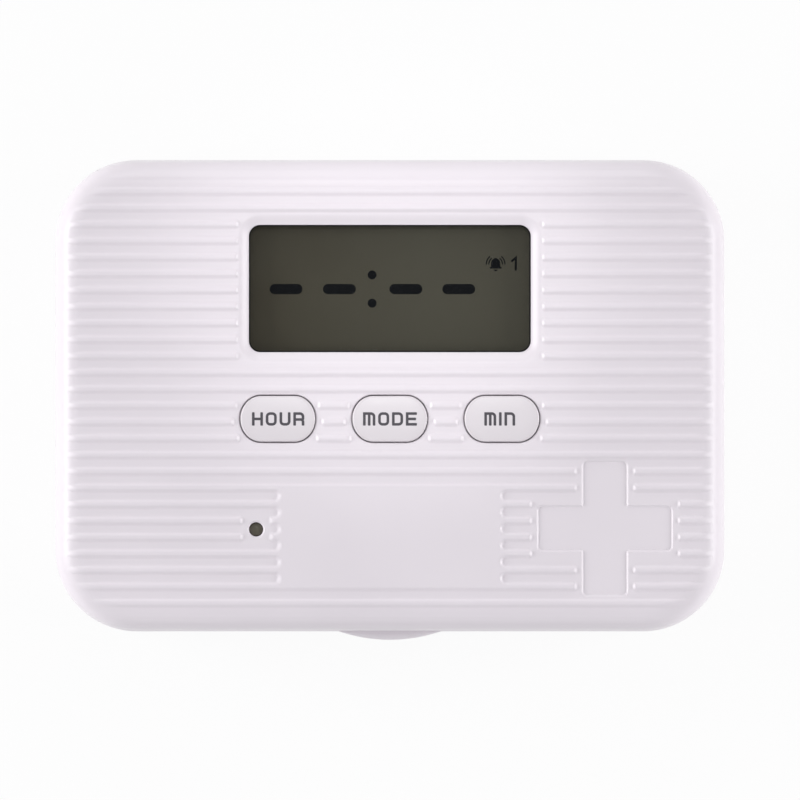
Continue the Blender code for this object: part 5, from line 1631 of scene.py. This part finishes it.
@dataclass
class Studio:
    """The pale floor, the lights and the camera over the closed lid, in metres."""

    distance: float = 3.0
    view_width: float = 0.1428
    view_centre: Point = (0.00182, -0.00005)
    floor_white: float = 0.92
    floor_half: float = 4.0
    ambient: float = 0.475
    aim: Point3 = (0.0, 0.0, 0.02)
    glow_aim: Point3 = (0.0, 0.024, 0.028)

    def add(self, name: str, data: bpy.types.ID, place: Point3, aim: Point3 | None = None) -> bpy.types.Object:
        """Add an object at a place in metres, and where asked turn it to an aim."""
        made = bpy.data.objects.new(name, data)
        made.location = place
        if aim:
            made.rotation_euler = (Vector(aim) - made.location).to_track_quat("-Z", "Y").to_euler()
        bpy.context.collection.objects.link(made)
        return made

    def floor(self) -> None:
        """A wide pale floor that keeps a soft shadow of the object."""
        mesh = bmesh.new()
        side, depth = self.floor_half, 0.0002
        mesh.faces.new([mesh.verts.new((x * side, y * side, -depth)) for x, y in
                        ((-1, -1), (1, -1), (1, 1), (-1, 1))])
        data = bpy.data.meshes.new("floor")
        mesh.to_mesh(data)
        mesh.free()
        made = self.add("floor", data, (0.0, 0.0, 0.0))
        shade = Shade("studio_floor")
        seen = self.seen(shade)
        cloud = shade.noise(shade.place(), 400.0, 2.0)
        shade.shader(Base_Color=shade.mix(cloud, rgba((0.8, 0.8, 0.8)), rgba((0.84, 0.84, 0.84))),
                     Roughness=0.9 + (cloud - 0.5) * 0.1)
        glow = shade.node("ShaderNodeEmission", inputs={"Color": rgba((1.0, 1.0, 1.0)), "Strength": 1.0})
        blend = shade.node("ShaderNodeMixShader", inputs={0: seen * self.floor_white,
                                                          1: shade.principled.outputs[0],
                                                          2: glow.outputs[0]})
        shade.tree.links.new(blend.outputs[0], shade.output.inputs["Surface"])
        data.materials.append(shade.material)

    def seen(self, shade: Shade) -> Field:
        """1 for rays from the camera, from gloss and through clear material."""
        path = shade.node("ShaderNodeLightPath")
        names = ("Is Camera Ray", "Is Glossy Ray", "Is Transmission Ray")
        camera, gloss, through = (Field(shade, path.outputs[name]) for name in names)
        return camera.math("MAXIMUM", gloss).math("MAXIMUM", through)

    def world(self) -> None:
        """Soft even light, seen as white."""
        world = bpy.data.worlds.new("studio")
        bpy.context.scene.world = world
        world.use_nodes = True
        tree = world.node_tree
        background = tree.nodes["Background"]
        path = tree.nodes.new("ShaderNodeLightPath")
        white = tree.nodes.new("ShaderNodeBackground")
        white.inputs["Color"].default_value = (1.0, 1.0, 1.0, 1.0)
        background.inputs["Color"].default_value = (0.96, 0.97, 1.0, 1.0)
        background.inputs["Strength"].default_value = self.ambient
        blend = tree.nodes.new("ShaderNodeMixShader")
        tree.links.new(path.outputs["Is Camera Ray"], blend.inputs[0])
        tree.links.new(background.outputs[0], blend.inputs[1])
        tree.links.new(white.outputs[0], blend.inputs[2])
        tree.links.new(blend.outputs[0], tree.nodes["World Output"].inputs["Surface"])

    def lamp(self, name: str, place: Point3, size: Point, power: float) -> None:
        """A soft box aimed at the object."""
        data = bpy.data.lights.new(name, "AREA")
        data.shape = "RECTANGLE"
        data.size, data.size_y = size
        data.energy = power
        self.add(name, data, place, self.aim)

    def glow(self) -> None:
        """A narrow soft spot over the rear half of the face."""
        data = bpy.data.lights.new("glow_light", "SPOT")
        data.energy = 27.0
        data.spot_size = math.radians(3.1)
        data.spot_blend = 1.0
        data.shadow_soft_size = 0.01
        self.add("glow_light", data, (0.0, 0.35, 1.9), self.glow_aim)

    def camera(self) -> None:
        """A long lens straight above the lid."""
        data = bpy.data.cameras.new("camera")
        data.sensor_width = 36.0
        data.lens = data.sensor_width * (self.distance - PLAN.face_z * METRES) / self.view_width
        data.clip_end = 20.0
        bpy.context.scene.camera = self.add("camera", data, (*self.view_centre, self.distance))

    def build(self) -> None:
        """Set up the studio."""
        self.camera()
        self.floor()
        self.world()
        self.lamp("left_light", (-1.21, 0.1, 0.47), (0.7, 0.5), 11.8)
        self.lamp("right_light", (1.21, 0.05, 0.46), (0.7, 0.5), 9.3)
        self.lamp("rear_light", (-0.1, 1.2, 0.5), (0.9, 0.5), 2.9)
        self.lamp("front_light", (0.1, -1.2, 0.5), (0.9, 0.5), 1.9)
        self.glow()
        bpy.context.scene.view_settings.view_transform = "Standard"


def main() -> None:
    """Build the box piece by piece and set it in its studio."""
    logging.basicConfig(level=logging.INFO, format="%(name)s %(message)s")
    Studio().build()
    LidShell().build()
    for key in (Key("hour", Body.HOUR, "HOUR", -20.0, -19.93, 9.34),
                Key("mode", Body.MODE, "MODE", 0.0, 0.03, 9.62),
                Key("minute", Body.MINUTE, "MIN", 20.0, 19.62, 5.5)):
        key.build()
    Display().build()
    AlarmLamp().build()
    BaseShell().build()
    for side, station in zip(("left", "right"), STATIONS):
        HingePin(side, station).build()
    BatteryBay().build()
    for side, place in zip(("front_left", "front_right", "rear_left", "rear_right"), PLAN.cover_screws):
        Fastener(f"cover_screw_{side}", place, 14.2, 1.9, 1.3, 0.8, 6.5).build()
    for side, place in zip(("left", "right", "front"), PLAN.board_screws):
        Fastener(f"board_screw_{side}", place, 17.0, 1.6, 1.1, 0.7, 5.0).build()
    Cell("front_cell", PLAN.bay_left + 4.0, CELL_ROWS[0], 1).build()
    Cell("rear_cell", PLAN.bay_left + 1.2, CELL_ROWS[1], -1).build()
    CoilSpring("negative_spring", PLAN.bay_left, 1, CELL_ROWS[0]).build()
    CoilSpring("bridge_spring", PLAN.bay_right, -1, CELL_ROWS[1]).build()
    for node in ("negative_plate", "positive_plate", "bridge_plate"):
        dress(node, STEEL, edge=0.08)
    for node in ("timer_chip", "buzzer"):
        dress(node, RESIN, edge=0.12)
    dress("clock_crystal", NICKEL, edge=0.15)
    dress("circuit_board", BOARD)


if __name__ == "__main__":
    main()
